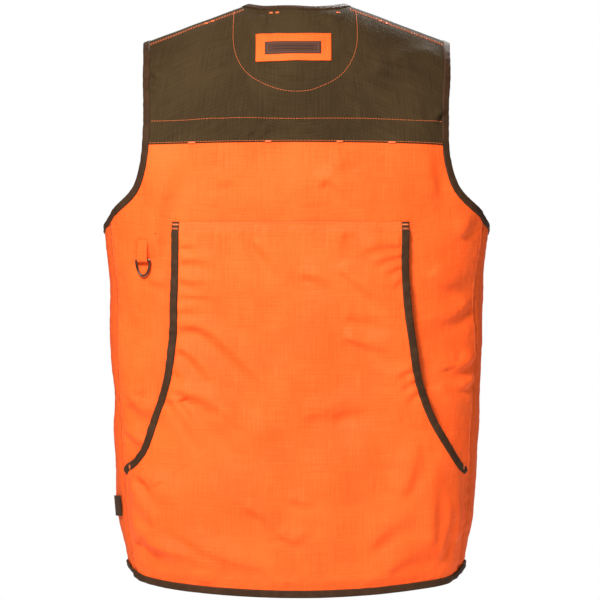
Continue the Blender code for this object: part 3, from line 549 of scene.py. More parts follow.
def path_frame(points, normals):
    """Unit directions along a path and across it, on the side where the normals look."""
    along = np.gradient(points, axis=0)
    along /= np.linalg.norm(along, axis=1)[:, None]
    across = np.cross(normals, along)
    across /= np.linalg.norm(across, axis=1)[:, None]
    return along, across


def resample(path, step):
    """A path of (angle, z) with its points evenly spaced along the form."""
    angle, z = path
    points = form_point(angle, z)
    length = np.concatenate([[0], np.cumsum(np.linalg.norm(np.diff(points, axis=0), axis=1))])
    at = np.linspace(0, length[-1], max(int(length[-1] / step), 2) + 1)
    return np.interp(at, length, angle), np.interp(at, length, z)


def step_across(path, across, distance):
    """The angles and heights a short way across a path, on the form."""
    angle, z = path
    moved = form_point(angle, z) + across * distance
    rolled = np.maximum(roll(moved[:, 0], moved[:, 2]), 0.02)
    return np.arctan2(moved[:, 1] / np.sqrt(rolled), moved[:, 0]), moved[:, 2], rolled


def on_cloth(path, across, distance, offset, surface):
    """Points beside a path; on the shoulder line, where the form turns over, they go straight."""
    angle, z, rolled = step_across(path, across, distance)
    laid = surface(angle, z, offset)
    normal = form_normal(*path)
    straight = surface(*path, 0.0) + across * distance + normal * offset
    share = smooth_step(rolled, 0.05, 0.30)[:, None]
    return straight * (1 - share) + laid * share


def tape_profile():
    """An edge binding's section: two legs and the fold between them, as (inwards, offset)."""
    half = CLOTH / 2 + TAPE_CLEARANCE
    outer = half + TAPE_THICKNESS
    fold = [(0.0004 - 1.25 * outer * np.sin(turn), outer * np.cos(turn)) for turn in np.linspace(0, pi, 7)]
    top = [
        (TAPE_REACH, half), (TAPE_REACH, outer - 0.0001),
        (0.75 * TAPE_REACH, outer + 0.0001), (0.3 * TAPE_REACH, outer + 0.0002),
    ]
    bottom = [(inwards, -offset) for inwards, offset in reversed(top)]
    return top + fold + bottom


def tape(name, path, inwards, surface=place):
    """A folded binding tape over a cloth edge; inwards says which side of the path is cloth."""
    path = resample(path, TAPE_STEP)
    normals = form_normal(*path)
    _, across = path_frame(form_point(*path), normals)
    across = across * inwards
    profile = tape_profile()
    rows = [on_cloth(path, across, distance, offset, surface) for distance, offset in profile]
    vertices = np.concatenate(rows)
    count = len(path[0])
    faces = grid_faces(count - 1, len(profile) - 1, turned=inwards > 0)
    run = np.linspace(0, TAPE_STEP * count, count)
    uv = [np.stack([run, np.full(count, index * 0.0016)], axis=1) for index in range(len(profile))]
    return add_mesh(name, vertices, faces, BROWN_TAPE, np.concatenate(uv))


def stitches(points, normals):
    """Short rounded threads, one after another along a line of points."""
    run = np.concatenate([[0], np.cumsum(np.linalg.norm(np.diff(points, axis=0), axis=1))])
    starts = np.arange(0, run[-1] - STITCH_LENGTH, STITCH_LENGTH + STITCH_GAP)
    ends = starts + STITCH_LENGTH

    def along_line(at, values):
        return np.stack([np.interp(at, run, values[:, axis]) for axis in range(3)], axis=1)

    return [along_line(starts, points), along_line(ends, points), along_line(starts, normals), THREAD_RADIUS]


def threads(name, groups, material):
    """One mesh of all the threads in groups, each from stitches() or bar_tack()."""
    ring = 6
    turns = np.linspace(0, 2 * pi, ring, endpoint=False)
    stages = [(0.0, 0.35, -0.3), (0.12, 0.9, 0.25), (0.5, 1.0, 0.75), (0.88, 0.9, 0.25), (1.0, 0.35, -0.3)]
    vertices = []
    faces = []
    for start, end, normal, radius in groups:
        along = end - start
        long = np.linalg.norm(along, axis=1)[:, None]
        across = np.cross(normal, along / np.maximum(long, 1e-6))
        for thread in range(len(start)):
            base = len(vertices)
            for share, size, lift in stages:
                middle = start[thread] + along[thread] * share + normal[thread] * radius * lift
                for turn in turns:
                    around = across[thread] * np.cos(turn) + normal[thread] * np.sin(turn)
                    vertices.append(middle + around * radius * size)
            for stage in range(len(stages) - 1):
                for corner in range(ring):
                    here = base + stage * ring + corner
                    there = base + stage * ring + (corner + 1) % ring
                    faces.append((here, there, there + ring, here + ring))
            faces.append(tuple(base + corner for corner in reversed(range(ring))))
            faces.append(tuple(base + (len(stages) - 1) * ring + corner for corner in range(ring)))
    return add_mesh(name, vertices, faces, material)


def seam_line(path, lift=STITCH_LIFT, surface=place):
    """A row of stitches along (angle, z) on the cloth."""
    path = resample(path, 0.0015)
    return stitches(surface(*path, lift), form_normal(*path))


def beside(path, inwards, distance):
    """A path moved sideways over the form."""
    path = resample(path, 0.003)
    _, across = path_frame(form_point(*path), form_normal(*path))
    angle, z, _ = step_across(path, across * inwards, distance)
    return angle, z


def bar_tack(x, z, width, lift, surface, upright=False, rows=5):
    """A dense little bar of threads side by side on the back."""
    spread = np.linspace(-0.5, 0.5, rows) * 0.0016
    half = width / 2
    if upright:
        xs = x + spread
        zs = np.full(rows, z)
        start = (angle_of(xs, zs - half, BACK), zs - half)
        end = (angle_of(xs, zs + half, BACK), zs + half)
    else:
        xs = np.full(rows, x)
        zs = z + spread
        start = (angle_of(xs - half, zs, BACK), zs)
        end = (angle_of(xs + half, zs, BACK), zs)
    return [surface(*start, lift), surface(*end, lift), form_normal(*start), 0.00030]


# ---- Materials -----------------------------------------------------------------------------------


# Lengths along the cloth, in metres.
RIPSTOP_GRID = 0.0052
RIPSTOP_LINE = 0.00045
WEAVE_STEP = 0.0006
MESH_STEP = 0.0052
RIB_STEP = 0.0011


def new_material(name, roughness, metallic=0.0, specular=0.5):
    made = bpy.data.materials.new(name)
    made.use_nodes = True
    shader = made.node_tree.nodes["Principled BSDF"]
    shader.inputs["Metallic"].default_value = metallic
    shader.inputs["Roughness"].default_value = roughness
    shader.inputs["Specular IOR Level"].default_value = specular
    return made, made.node_tree, shader


def add_node(tree, kind, settings=None, **values):
    made = tree.nodes.new(kind)
    for name, value in (settings or {}).items():
        setattr(made, name, value)
    for name, value in values.items():
        socket = made.inputs[int(name[1:])] if name[0] == "i" and name[1:].isdigit() else made.inputs[name]
        if isinstance(value, bpy.types.NodeSocket):
            tree.links.new(value, socket)
        else:
            socket.default_value = value
    return made


def maths(tree, operation, first, second=0.0, third=0.0):
    made = add_node(tree, "ShaderNodeMath", {"operation": operation}, i0=first, i1=second, i2=third)
    return made.outputs[0]


def wave(tree, operation, value, length):
    return maths(tree, operation, maths(tree, "MULTIPLY", value, 2 * pi / length))


def away_from(tree, value, middle):
    return maths(tree, "ABSOLUTE", maths(tree, "SUBTRACT", value, middle))


def blend_colours(tree, share, first, second):
    made = add_node(tree, "ShaderNodeMix", {"data_type": "RGBA"}, i0=share, i6=first, i7=second)
    return made.outputs[2]


def remap(tree, value, low, high, to_low, to_high):
    return add_node(
        tree, "ShaderNodeMapRange", {"interpolation_type": "SMOOTHSTEP"}, i0=value, i1=low, i2=high,
        i3=to_low, i4=to_high).outputs[0]


def noise(tree, place_at, scale, detail=3.0, roughness=0.55, stretch=(1, 1, 1)):
    mapped = add_node(tree, "ShaderNodeMapping", i0=place_at, i3=stretch).outputs[0]
    made = add_node(tree, "ShaderNodeTexNoise", i0=mapped, Scale=scale, Detail=detail, Roughness=roughness)
    return made.outputs[0]


def bump(tree, shader, height, strength, distance):
    made = add_node(tree, "ShaderNodeBump", Strength=strength, Distance=distance, Height=height)
    tree.links.new(made.outputs[0], shader.inputs["Normal"])


def lines(tree, value, spacing, width):
    """1 on lines every spacing along a value, and 0 between them."""
    away = maths(tree, "PINGPONG", value, spacing / 2)
    return remap(tree, away, 0.0, width, 1.0, 0.0)


def weave_axes(tree):
    """The cloth's own place, with its lengths across and down."""
    uv = tree.nodes.new("ShaderNodeUVMap").outputs[0]
    split = add_node(tree, "ShaderNodeSeparateXYZ", i0=uv)
    return uv, split.outputs[0], split.outputs[1]


def colour(red, green, blue, strength=1.0):
    return (red * strength, green * strength, blue * strength, 1.0)


def ripstop(name, base, shade, light, roughness=0.62, specular=0.10):
    """Woven nylon: a grid of thicker threads and fine streaks both ways, a little crinkled."""
    made, tree, shader = new_material(name, roughness, specular=specular)
    uv, across, down = weave_axes(tree)
    thick_threads = [lines(tree, axis, RIPSTOP_GRID, RIPSTOP_LINE) for axis in (across, down)]
    grid_mask = maths(tree, "MAXIMUM", *thick_threads)
    warp = noise(tree, uv, 1.0, stretch=(900, 22, 1))
    weft = noise(tree, uv, 1.0, stretch=(22, 900, 1))
    streaks = maths(tree, "MULTIPLY_ADD", maths(tree, "ADD", warp, weft), 0.5, 0.0)
    cloudy = noise(tree, uv, 9.0)
    tone = maths(tree, "MULTIPLY_ADD", maths(tree, "SUBTRACT", streaks, 0.5), 1.7, cloudy)
    plain = blend_colours(tree, remap(tree, tone, 0.30, 0.70, 0.0, 1.0), shade, base)
    coloured = blend_colours(tree, maths(tree, "MULTIPLY", grid_mask, 0.22), plain, light)
    tree.links.new(coloured, shader.inputs["Base Color"])
    rough = remap(tree, streaks, 0.3, 0.7, roughness + 0.07, roughness - 0.07)
    tree.links.new(rough, shader.inputs["Roughness"])
    weave = maths(tree, "MULTIPLY", *[wave(tree, "SINE", axis, WEAVE_STEP) for axis in (across, down)])
    height = maths(tree, "MULTIPLY_ADD", weave, 0.12, grid_mask)
    height = maths(tree, "MULTIPLY_ADD", streaks, 1.2, height)
    crinkle = noise(tree, uv, 46.0, detail=5.0, roughness=0.6, stretch=(1, 0.7, 1))
    crinkled = add_node(tree, "ShaderNodeBump", Strength=0.55, Distance=0.0032, Height=crinkle).outputs[0]
    woven = add_node(tree, "ShaderNodeBump", Strength=0.35, Distance=0.00022, Height=height, Normal=crinkled)
    tree.links.new(woven.outputs[0], shader.inputs["Normal"])
    return made


def mesh_cloth(name, base, hole_shade):
    """Knitted mesh: rows of small round holes, each row set over by half a step, with painted shade in the
    holes.
    """
    made, tree, shader = new_material(name, 0.66, specular=0.08)
    uv, across, down = weave_axes(tree)
    waves_both_ways = [wave(tree, "COSINE", axis, MESH_STEP) for axis in (across, down)]
    knit = maths(tree, "ABSOLUTE", maths(tree, "MULTIPLY", *waves_both_ways))
    holes = remap(tree, knit, 0.42, 0.62, 0.0, 1.0)
    tone = noise(tree, uv, 160.0)
    yarn = blend_colours(tree, tone, base, colour(*base[:3], 0.86))
    # The holes take a darker orange: painted shade where shaded cloth would show through them.
    tree.links.new(blend_colours(tree, holes, yarn, hole_shade), shader.inputs["Base Color"])
    bump(tree, shader, maths(tree, "SUBTRACT", 1.0, holes), 0.7, 0.0005)
    return made


def tape_cloth(name, base, shade, laid="UV"):
    """Woven edging: fine ribs across its length and a patchy tone."""
    made, tree, shader = new_material(name, 0.64, specular=0.12)
    uv = tree.nodes.new("ShaderNodeTexCoord").outputs[laid]
    split = add_node(tree, "ShaderNodeSeparateXYZ", i0=uv)
    ribs = wave(tree, "SINE", split.outputs[0], RIB_STEP)
    patchy = noise(tree, uv, 70.0)
    tone = remap(tree, patchy, 0.30, 0.72, 0.0, 1.0)
    tree.links.new(blend_colours(tree, tone, shade, base), shader.inputs["Base Color"])
    height = maths(tree, "MULTIPLY_ADD", ribs, 0.35, patchy)
    bump(tree, shader, height, 0.5, 0.0003)
    return made


def thread_finish(name, base):
    made, tree, shader = new_material(name, 0.5, specular=0.2)
    at = tree.nodes.new("ShaderNodeTexCoord").outputs["Object"]
    twist = noise(tree, at, 2600.0, detail=1.0)
    tree.links.new(blend_colours(tree, twist, colour(*base[:3], 0.72), base), shader.inputs["Base Color"])
    bump(tree, shader, twist, 0.5, 0.0002)
    return made


def metal(name, base, worn, roughness):
    """Plated metal, brighter where handling rubs its edges."""
    made, tree, shader = new_material(name, roughness, metallic=1.0)
    at = tree.nodes.new("ShaderNodeTexCoord").outputs["Object"]
    edge = remap(tree, tree.nodes.new("ShaderNodeNewGeometry").outputs["Pointiness"], 0.50, 0.60, 0.0, 1.0)
    blotch = noise(tree, at, 320.0)
    rubbed = maths(tree, "MULTIPLY", edge, remap(tree, blotch, 0.35, 0.65, 0.2, 1.0))
    tree.links.new(blend_colours(tree, rubbed, base, worn), shader.inputs["Base Color"])
    rough = remap(tree, blotch, 0.3, 0.7, roughness - 0.08, roughness + 0.12)
    tree.links.new(rough, shader.inputs["Roughness"])
    bump(tree, shader, noise(tree, at, 1500.0), 0.12, 0.0002)
    return made


def label_cloth(name, base, dark, pale):
    """A woven label: a thin border, and plain stripes where a name would be."""
    made, tree, shader = new_material(name, 0.66, specular=0.12)
    uv, u, v = weave_axes(tree)
    away_u = away_from(tree, u, 0.5)
    away_v = away_from(tree, v, 0.5)
    border_u = remap(tree, away_from(tree, away_u, 0.455), 0.004, 0.009, 1.0, 0.0)
    border_v = remap(tree, away_from(tree, away_v, 0.38), 0.015, 0.035, 1.0, 0.0)
    inside_u = remap(tree, away_u, 0.460, 0.466, 1.0, 0.0)
    inside_v = remap(tree, away_v, 0.400, 0.425, 1.0, 0.0)
    border = maths(tree, "MAXIMUM", maths(tree, "MULTIPLY", border_u, inside_v),
                   maths(tree, "MULTIPLY", border_v, inside_u))
    stripe = lines(tree, maths(tree, "ADD", v, 0.06), 0.22, 0.055)
    short = maths(tree, "MULTIPLY", remap(tree, away_u, 0.36, 0.37, 1.0, 0.0),
                  remap(tree, away_v, 0.27, 0.29, 1.0, 0.0))
    marks = maths(tree, "MULTIPLY", stripe, short)
    grain = noise(tree, uv, 1.0, stretch=(220, 60, 1))
    cloth = blend_colours(tree, remap(tree, grain, 0.3, 0.7, 0.0, 1.0), colour(*base[:3], 0.82), base)
    marked = blend_colours(tree, maths(tree, "MULTIPLY", marks, 0.85), cloth, dark)
    bordered = blend_colours(tree, maths(tree, "MULTIPLY", border, 0.6), marked, pale)
    tree.links.new(bordered, shader.inputs["Base Color"])
    height = maths(tree, "MULTIPLY_ADD", grain, 0.6, maths(tree, "ADD", marks, border))
    bump(tree, shader, height, 0.5, 0.0003)
    return made


ORANGE = colour(0.96, 0.124, 0.0185)
ORANGE_SHADE = colour(0.90, 0.094, 0.0120)
ORANGE_LIGHT = colour(0.98, 0.165, 0.034)
BROWN = colour(0.052, 0.0310, 0.0130)
BROWN_SHADE = colour(0.034, 0.0205, 0.0086)
BROWN_LIGHT = colour(0.078, 0.0480, 0.0220)

ORANGE_RIPSTOP = ripstop("orange_ripstop", ORANGE, ORANGE_SHADE, ORANGE_LIGHT)
BROWN_RIPSTOP = ripstop("brown_ripstop", BROWN, BROWN_SHADE, BROWN_LIGHT, roughness=0.78, specular=0.04)
# The second colour is painted shade inside the mesh holes.
ORANGE_MESH = mesh_cloth("orange_mesh", colour(0.95, 0.125, 0.0180), colour(0.62, 0.066, 0.010))
BROWN_TAPE = tape_cloth("brown_tape", colour(0.054, 0.0235, 0.0095), colour(0.038, 0.0165, 0.0066))
BROWN_TAG = tape_cloth("brown_tag", colour(0.054, 0.0235, 0.0095), colour(0.038, 0.0165, 0.0066), "Object")
ZIP_CLOTH = tape_cloth("zip_cloth", colour(0.044, 0.026, 0.012), colour(0.034, 0.019, 0.009))
ORANGE_THREAD = thread_finish("orange_thread", colour(0.90, 0.190, 0.055))
BROWN_THREAD = thread_finish("brown_thread", colour(0.090, 0.036, 0.015))
BRONZE = metal("bronze", colour(0.055, 0.036, 0.026), colour(0.34, 0.25, 0.19), 0.36)
STEEL = metal("steel", colour(0.20, 0.18, 0.165), colour(0.48, 0.46, 0.44), 0.34)
TOOTH = metal("zip_tooth", colour(0.085, 0.060, 0.042), colour(0.36, 0.27, 0.20), 0.34)
LABEL = label_cloth(
    "label_weave", colour(0.074, 0.0300, 0.0190), colour(0.020, 0.009, 0.006), colour(0.130, 0.062, 0.040))


# ---- Where each panel lies: angle and height for u across and v down ------------------------------


def yoke_seam_z(x):
    return YOKE_SEAM_Z - 0.004 * (x / 0.2) ** 2


def back_neck_z(x):
    share = np.minimum(np.abs(x) / NECK_HALF_WIDTH, 1)
    return np.minimum(ridge_z(x), -0.005 * (1 - share ** 4))


def back_yoke_at(u, v):
    top = drape(SHOULDER_X, BACK_ARMHOLE[0][1])
    edge_z = drop(SHOULDER_X, mix(top, drape(SHOULDER_X, yoke_seam_z(YOKE_SIDE_X)), v))
    edge = outline_x(BACK_ARMHOLE, edge_z)
    x = mix(-edge, edge, u)
    z = drop(x, mix(drape(x, back_neck_z(x)), drape(x, yoke_seam_z(x)), v))
    return angle_of(x, z, BACK), z


def back_edge_x(z):
    return np.where(z > BACK_ARMHOLE[-1][1], outline_x(BACK_ARMHOLE, z), BACK_SEAM_SHARE * half_width(z))


def back_panel_at(u, v):
    edge_z = mix(yoke_seam_z(YOKE_SIDE_X), hem_z(0.2), v)
    turn = angle_of(back_edge_x(edge_z), edge_z, BACK)
    angle = mix(pi - turn, turn, u)
    x = form_point(angle, edge_z)[:, 0]
    return angle, mix(yoke_seam_z(x) + SEAM_UNDER, hem_z(x), v)


def pouch_at(u, v):
    edge_z = mix(MOUTH_TOP, hem_z(0.21) + POUCH_HEM_RISE, v)
    right, left = pouch_edges(edge_z)
    angle = mix(angle_of(right, edge_z, BACK), angle_of(left, edge_z, BACK), u)
    x = form_point(angle, edge_z)[:, 0]
    return angle, mix(MOUTH_TOP, hem_z(x) + POUCH_HEM_RISE, v)


def underarm_z(share):
    return mix(UNDERARM_Z, BACK_ARMHOLE[-1][1], share ** 2)


def side_turns(z):
    """The angles of the left side mesh's front and back seams."""
    return angle_of(swing_x(z), z, FRONT), angle_of(back_edge_x(z), z, BACK)


def side_at(u, v, lap=0.0):
    top = underarm_z(mix(-1, 1, u))
    z = mix(top, HEM_SIDE_Z, v)
    front, back = side_turns(z)
    angle = mix(front - lap, back + lap, u)
    x = form_point(angle, z)[:, 0]
    hem = np.where(angle >= 0, hem_z(x), hem_z(x, FRONT))
    return angle, mix(top, hem, v)


def side_cloth_at(u, v):
    return side_at(u, v, SIDE_LAP)


def side_surface(angle, z, offset=0.0):
    """The side mesh tucks its edges under the panels that it joins."""
    turned = np.where(np.cos(angle) < 0, pi - angle, angle)
    front, back = side_turns(z)
    inside = np.minimum(turned - front, back - turned)
    return place(angle, z, offset - SEAM_LAP * (1 - smooth_step(inside, 0.0, 0.04)))


def front_yoke_at(u, v):
    near_x = 0.055
    near_z = drop(near_x, v * drape(near_x, FRONT_SEAM_Z))
    far_z = drop(SHOULDER_X, v * drape(SHOULDER_X, FRONT_SEAM_Z))
    x = mix(outline_x(FRONT_NECK, near_z), outline_x(FRONT_ARMHOLE, far_z), u)
    z = drop(x, v * drape(x, FRONT_SEAM_Z))
    return angle_of(x, z, FRONT), z


def front_far_x(z):
    return np.where(z > FRONT_ARMHOLE[-1][1], outline_x(FRONT_ARMHOLE, z), swing_x(z))


def front_panel_at(u, v):
    top = FRONT_SEAM_Z + SEAM_UNDER
    edge_z = mix(FRONT_SEAM_Z, HEM_FRONT_Z, v)
    near = angle_of(FRONT_EDGE, edge_z, FRONT)
    far = angle_of(front_far_x(edge_z), edge_z, FRONT)
    angle = mix(near, far, u)
    x = form_point(angle, edge_z)[:, 0]
    return angle, mix(top, hem_z(x, FRONT), v)


def mirrored(locate, hand):
    """A left panel's place, or its mirror image for the right."""
    if hand == LEFT:
        return locate

    def other(u, v):
        angle, z = locate(u, v)
        return pi - angle, z

    return other


def edge_path(locate, u=None, v=None, count=160):
    """A path of (angle, z) along one edge of a panel."""
    run = stations(count)
    if u is not None:
        return locate(np.full(count + 1, float(u)), run)
    return locate(run, np.full(count + 1, float(v)))


def joined(*paths):
    return np.concatenate([path[0] for path in paths]), np.concatenate([path[1] for path in paths])


def backwards(path):
    return path[0][::-1], path[1][::-1]


def cut_off(path, keep):
    return path[0][keep], path[1][keep]


# ---- Back ----------------------------------------------------------------------------------------


def declare(item, node):
    """Hides the CAD node whose place a piece takes."""
    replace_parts(item, node)


def trim(item, node, body="vest_body"):
    """A binding tape that takes a CAD node's place and moves with a body."""
    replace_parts(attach(item, body), node)


def lapped(angle, z, offset, seam_z):
    """A yoke's lower edge lies over the panel below its seam."""
    return place(angle, z, offset + SEAM_LAP * (1 - smooth_step(z - seam_z, 0.004, 0.012)))


def yoke_surface(angle, z, offset=0.0):
    return lapped(angle, z, offset, yoke_seam_z(form_point(angle, z)[:, 0]))


def back():
    yoke = panel("back_yoke_cloth", back_yoke_at, 180, 110, BROWN_RIPSTOP, yoke_surface)
    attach(yoke, "vest_body")
    declare(yoke, "back_yoke")
    body = panel("back_cloth", back_panel_at, 190, 220, ORANGE_RIPSTOP, place)
    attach(body, "vest_body")
    declare(body, "back_panel")
    pouch = panel("pouch_cloth", pouch_at, 170, 200, ORANGE_RIPSTOP, pouch_point)
    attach(pouch, "vest_body")
    declare(pouch, "game_pouch_panel")
    for hand, word in HANDS:
        side = panel(f"side_mesh_{word}", mirrored(side_cloth_at, hand), 64, 180, ORANGE_MESH, side_surface,
                     turned=hand == RIGHT)
        bend(side)
        declare(side, f"side_panel_{word}")


def flipped(path):
    """A path's mirror image on the other side of the body."""
    return pi - path[0], path[1]


def mouth_path(hand):
    path = edge_path(pouch_at, u=1 if hand == LEFT else 0)
    return cut_off(path, path[1] > MOUTH_END)


def between(path, high, low):
    """The part of a path that lies between two heights."""
    return cut_off(path, (path[1] < high) & (path[1] > low))


def eased(path, reach=4):
    """A path with its corners rounded, as a tape takes them."""
    angle, z = resample(path, 0.0022)
    weights = np.ones(2 * reach + 1) / (2 * reach + 1)
    rounded = [np.convolve(np.pad(values, reach, "reflect", reflect_type="odd"), weights, "valid")
               for values in (angle, z)]
    return rounded[0], rounded[1]


def armhole_back_path(hand):
    """From the shoulder down the back and under the arm to the front seam."""
    edge = edge_path(back_panel_at, u=1)
    path = eased(joined(
        edge_path(back_yoke_at, u=1),
        between(edge, yoke_seam_z(YOKE_SIDE_X) - SEAM_STEP, BACK_ARMHOLE[-1][1]),
        backwards(edge_path(side_at, v=0))))
    return path if hand == LEFT else flipped(path)


def hem_path():
    """Along the hem from the left front seam, round the back, to the right front seam."""
    side = edge_path(side_at, v=1)
    back_hem = backwards(edge_path(back_panel_at, v=1))
    return eased(joined(side, back_hem, backwards(flipped(side))), 9)


def hem_surface(angle, z, offset=0.0):
    """The hem tape holds the back and the pouch together, so its outer leg lies over both."""
    return place(angle, z, offset + 0.0015 * smooth_step(offset, -0.0004, 0.0006))


def tapes():
    for hand, word in HANDS:
        trim(tape(f"pouch_tape_{word}", mouth_path(hand), hand, pouch_point), f"pouch_binding_{word}")
        trim(tape(f"armhole_tape_{word}", armhole_back_path(hand), hand), f"armhole_binding_{word}")
    collar = cut_off(edge_path(back_yoke_at, v=0), np.abs(stations(160) - 0.5) < COLLAR_SHARE)
    trim(tape("neck_tape_back", backwards(collar), -1), "neck_binding")
    trim(tape("hem_tape_back", hem_path(), 1, hem_surface), "hem_binding_back")


# ---- Labels, ring and small parts ----------------------------------------------------------------


PATCH = (0.052, -0.044, -0.042, -0.078)
WOVEN = (0.040, -0.031, -0.053, -0.069)


def rectangle_at(left, right, top, bottom):
    def locate(u, v):
        x = mix(right, left, u)
        z = mix(top, bottom, v)
        return angle_of(x, z, BACK), z

    return locate


def raised(height):
    def surface(angle, z, offset=0.0):
        return place(angle, z, offset + height)

    return surface


def labels():
    patch = panel("label_patch_cloth", rectangle_at(*PATCH), 60, 24, ORANGE_RIPSTOP, raised(PATCH_LIFT))
    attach(patch, "vest_body")
    declare(patch, "label_patch")
    woven = panel("woven_label_cloth", rectangle_at(*WOVEN), 48, 12, LABEL, raised(PATCH_LIFT + 0.0009))
    u, v = np.meshgrid(stations(48), 1 - stations(12))
    corners = np.zeros(len(woven.data.loops), np.int32)
    woven.data.loops.foreach_get("vertex_index", corners)
    uv = np.stack([1 - u.ravel(), v.ravel()], axis=1)[corners]
    woven.data.uv_layers[0].data.foreach_set("uv", uv.astype(np.float32).ravel())
    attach(woven, "vest_body")
    declare(woven, "woven_label")


RING_X = 0.1935
RING_Z = -0.3300
RING_LIFT = 0.0052
RING_HALF_WIDTH = 0.0098
RING_DROP = 0.0200
RING_CORNER = 0.0022
RING_WIRE = 0.0015
TAB_WIDTH = 0.0145
TAB_THICKNESS = 0.0008
TAB_COLUMNS = 8


def closed_wire(name, points, radius, material):
    """A round wire along a closed line of points."""
    wire = bpy.data.curves.new(name, "CURVE")
    wire.dimensions = "3D"
    wire.bevel_depth = radius
    wire.bevel_resolution = 6
    spline = wire.splines.new("POLY")
    spline.points.add(len(points) - 1)
    for knot, point in zip(spline.points, points):
        knot.co = (*point, 1.0)
    spline.use_cyclic_u = True
    wire.materials.append(material)
    return add_object(name, wire)


def ring_frame():
    """Where the D-ring's bar lies: its centre, and the directions along it, up and outwards."""
    at_z = np.array([RING_Z])
    angle = angle_of(np.array([RING_X]), at_z, BACK)
    normal = form_normal(angle, at_z)[0]
    along = np.array([normal[1], -normal[0], 0])
    along /= np.linalg.norm(along)
    return form_point(angle, at_z)[0] + normal * RING_LIFT, along, np.cross(along, normal), normal


def tab_line(height):
    """The tab's section, as (outwards, up): down its back, under the ring's bar, and up its front."""
    wrap = 0.00228
    back = [(-0.0019, height)] + [(-0.0023, height * share) for share in (0.75, 0.5, 0.25)]
    under = [(wrap * np.cos(turn), wrap * np.sin(turn)) for turn in np.linspace(-pi, 0, 17)]
    front = [(0.0022, height * share) for share in (0.25, 0.5)]
    return back + under + front + [(-0.0004, height * 0.8), (-0.0010, height)]


def d_ring():
    centre, along, up, _ = ring_frame()
    turns = np.linspace(0, -pi, 41)
    bow = [centre + along * RING_HALF_WIDTH * np.cos(a) + up * RING_DROP * np.sin(a) for a in turns]
    end = RING_HALF_WIDTH - RING_CORNER
    bar = [centre + along * across for across in np.linspace(-end, end, 12)]
    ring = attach(closed_wire("d_ring_wire", bow + bar, RING_WIRE, BRONZE), "d_ring_body")
    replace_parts(ring, "d_ring")


def d_ring_tab():
    centre, along, up, normal = ring_frame()
    line = np.array(tab_line(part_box("d_ring_tab")[1][2] - centre[2]))
    across = np.linspace(-0.5, 0.5, TAB_COLUMNS + 1) * TAB_WIDTH
    vertices = [centre + along * width + normal * out + up * rise for out, rise in line for width in across]
    run = np.concatenate([[0], np.cumsum(np.linalg.norm(np.diff(line, axis=0), axis=1))])
    uv = np.stack([np.tile(across, len(line)), np.repeat(run, TAB_COLUMNS + 1)], axis=1)
    faces = grid_faces(TAB_COLUMNS, len(line) - 1)
    tab = thicken(add_mesh("d_ring_tab_cloth", vertices, faces, ORANGE_RIPSTOP, uv), TAB_THICKNESS)
    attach(tab, "vest_body")
    declare(tab, "d_ring_tab")


# ---- Stitching -----------------------------------------------------------------------------------


# Half of the stitched scoop below the neck, and bar tacks as (x, width) along the yoke's seam.
SCOOP = [
    (0.0795, 0.0), (0.0810, -0.051), (0.0720, -0.080), (0.0540, -0.0995), (0.0256, -0.1127), (0.0, -0.1165),
]
YOKE_TACKS = ((0.133, 0.0095), (0.036, 0.0085), (-0.055, 0.0085), (-0.121, 0.0095))
NECK_TACKS = (0.0325, 0.0245, -0.053)


def yoke_row(x, z):
    return seam_line((angle_of(x, z, BACK), z), STITCH_LIFT, yoke_surface)


def yoke_stitches():
    line = line_through(SCOOP + [(-x * 0.95, z) for x, z in reversed(SCOOP[:-1])], 90)
    x = line[:, 0]
    groups = [yoke_row(x, np.minimum(line[:, 1], ridge_z(x) - 0.004))]
    x = np.linspace(-0.186, 0.186, 60)
    groups.append(yoke_row(x, yoke_seam_z(x) + 0.0300 - 0.0006 * np.cos(x * 40)))
    groups.append(yoke_row(x, yoke_seam_z(x) + 0.0016))
    for x, width in YOKE_TACKS:
        groups.append(bar_tack(x, float(yoke_seam_z(x)) + 0.0006, width, STITCH_LIFT + 0.0002, yoke_surface))
    for x in NECK_TACKS:
        groups.append(bar_tack(x, -0.0140, 0.0050, STITCH_LIFT, yoke_surface, rows=4))
    for hand in (LEFT, RIGHT):
        x = hand * np.linspace(0.068, 0.191, 40)
        for down in (0.0450, 0.0500):
            groups.append(yoke_row(x, drop(x, down)))
        for x in (0.108, 0.116):
            z = float(drop(x, 0.0475))
            groups.append(bar_tack(hand * x, z, 0.0045, STITCH_LIFT, yoke_surface, rows=4))
    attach(threads("yoke_stitching", groups, ORANGE_THREAD), "vest_body")


def back_stitches():
    tack_lift = 0.0014
    groups = []
    x = np.linspace(-0.150, 0.160, 60)
    for z_line in (MOUTH_TOP - 0.0022, MOUTH_TOP - 0.0100):
        z = np.full(60, z_line) + 0.0006 * np.cos(x * 30)
        groups.append(seam_line((angle_of(x, z, BACK), z), STITCH_LIFT, pouch_point))
    for hand in (LEFT, RIGHT):
        seam = edge_path(back_panel_at, u=1 if hand == LEFT else 0)
        seam = between(seam, BACK_ARMHOLE[-1][1] - 0.004, HEM_SIDE_Z)
        groups.append(seam_line(beside(seam, hand, 0.0030)))
        mouth = LEFT_MOUTH if hand == LEFT else RIGHT_MOUTH
        end_x = hand * (mouth[0][0] - 0.004)
        for down, rows in ((0.0035, 6), (0.0085, 3)):
            groups.append(bar_tack(end_x, MOUTH_TOP - down, 0.0085, tack_lift, pouch_point, rows=rows))
        low = MOUTH_END + 0.0075
        groups.append(bar_tack(hand * 0.2090, low, 0.0065, tack_lift, pouch_point, upright=True, rows=3))
    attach(threads("back_stitching", groups, ORANGE_THREAD), "vest_body")


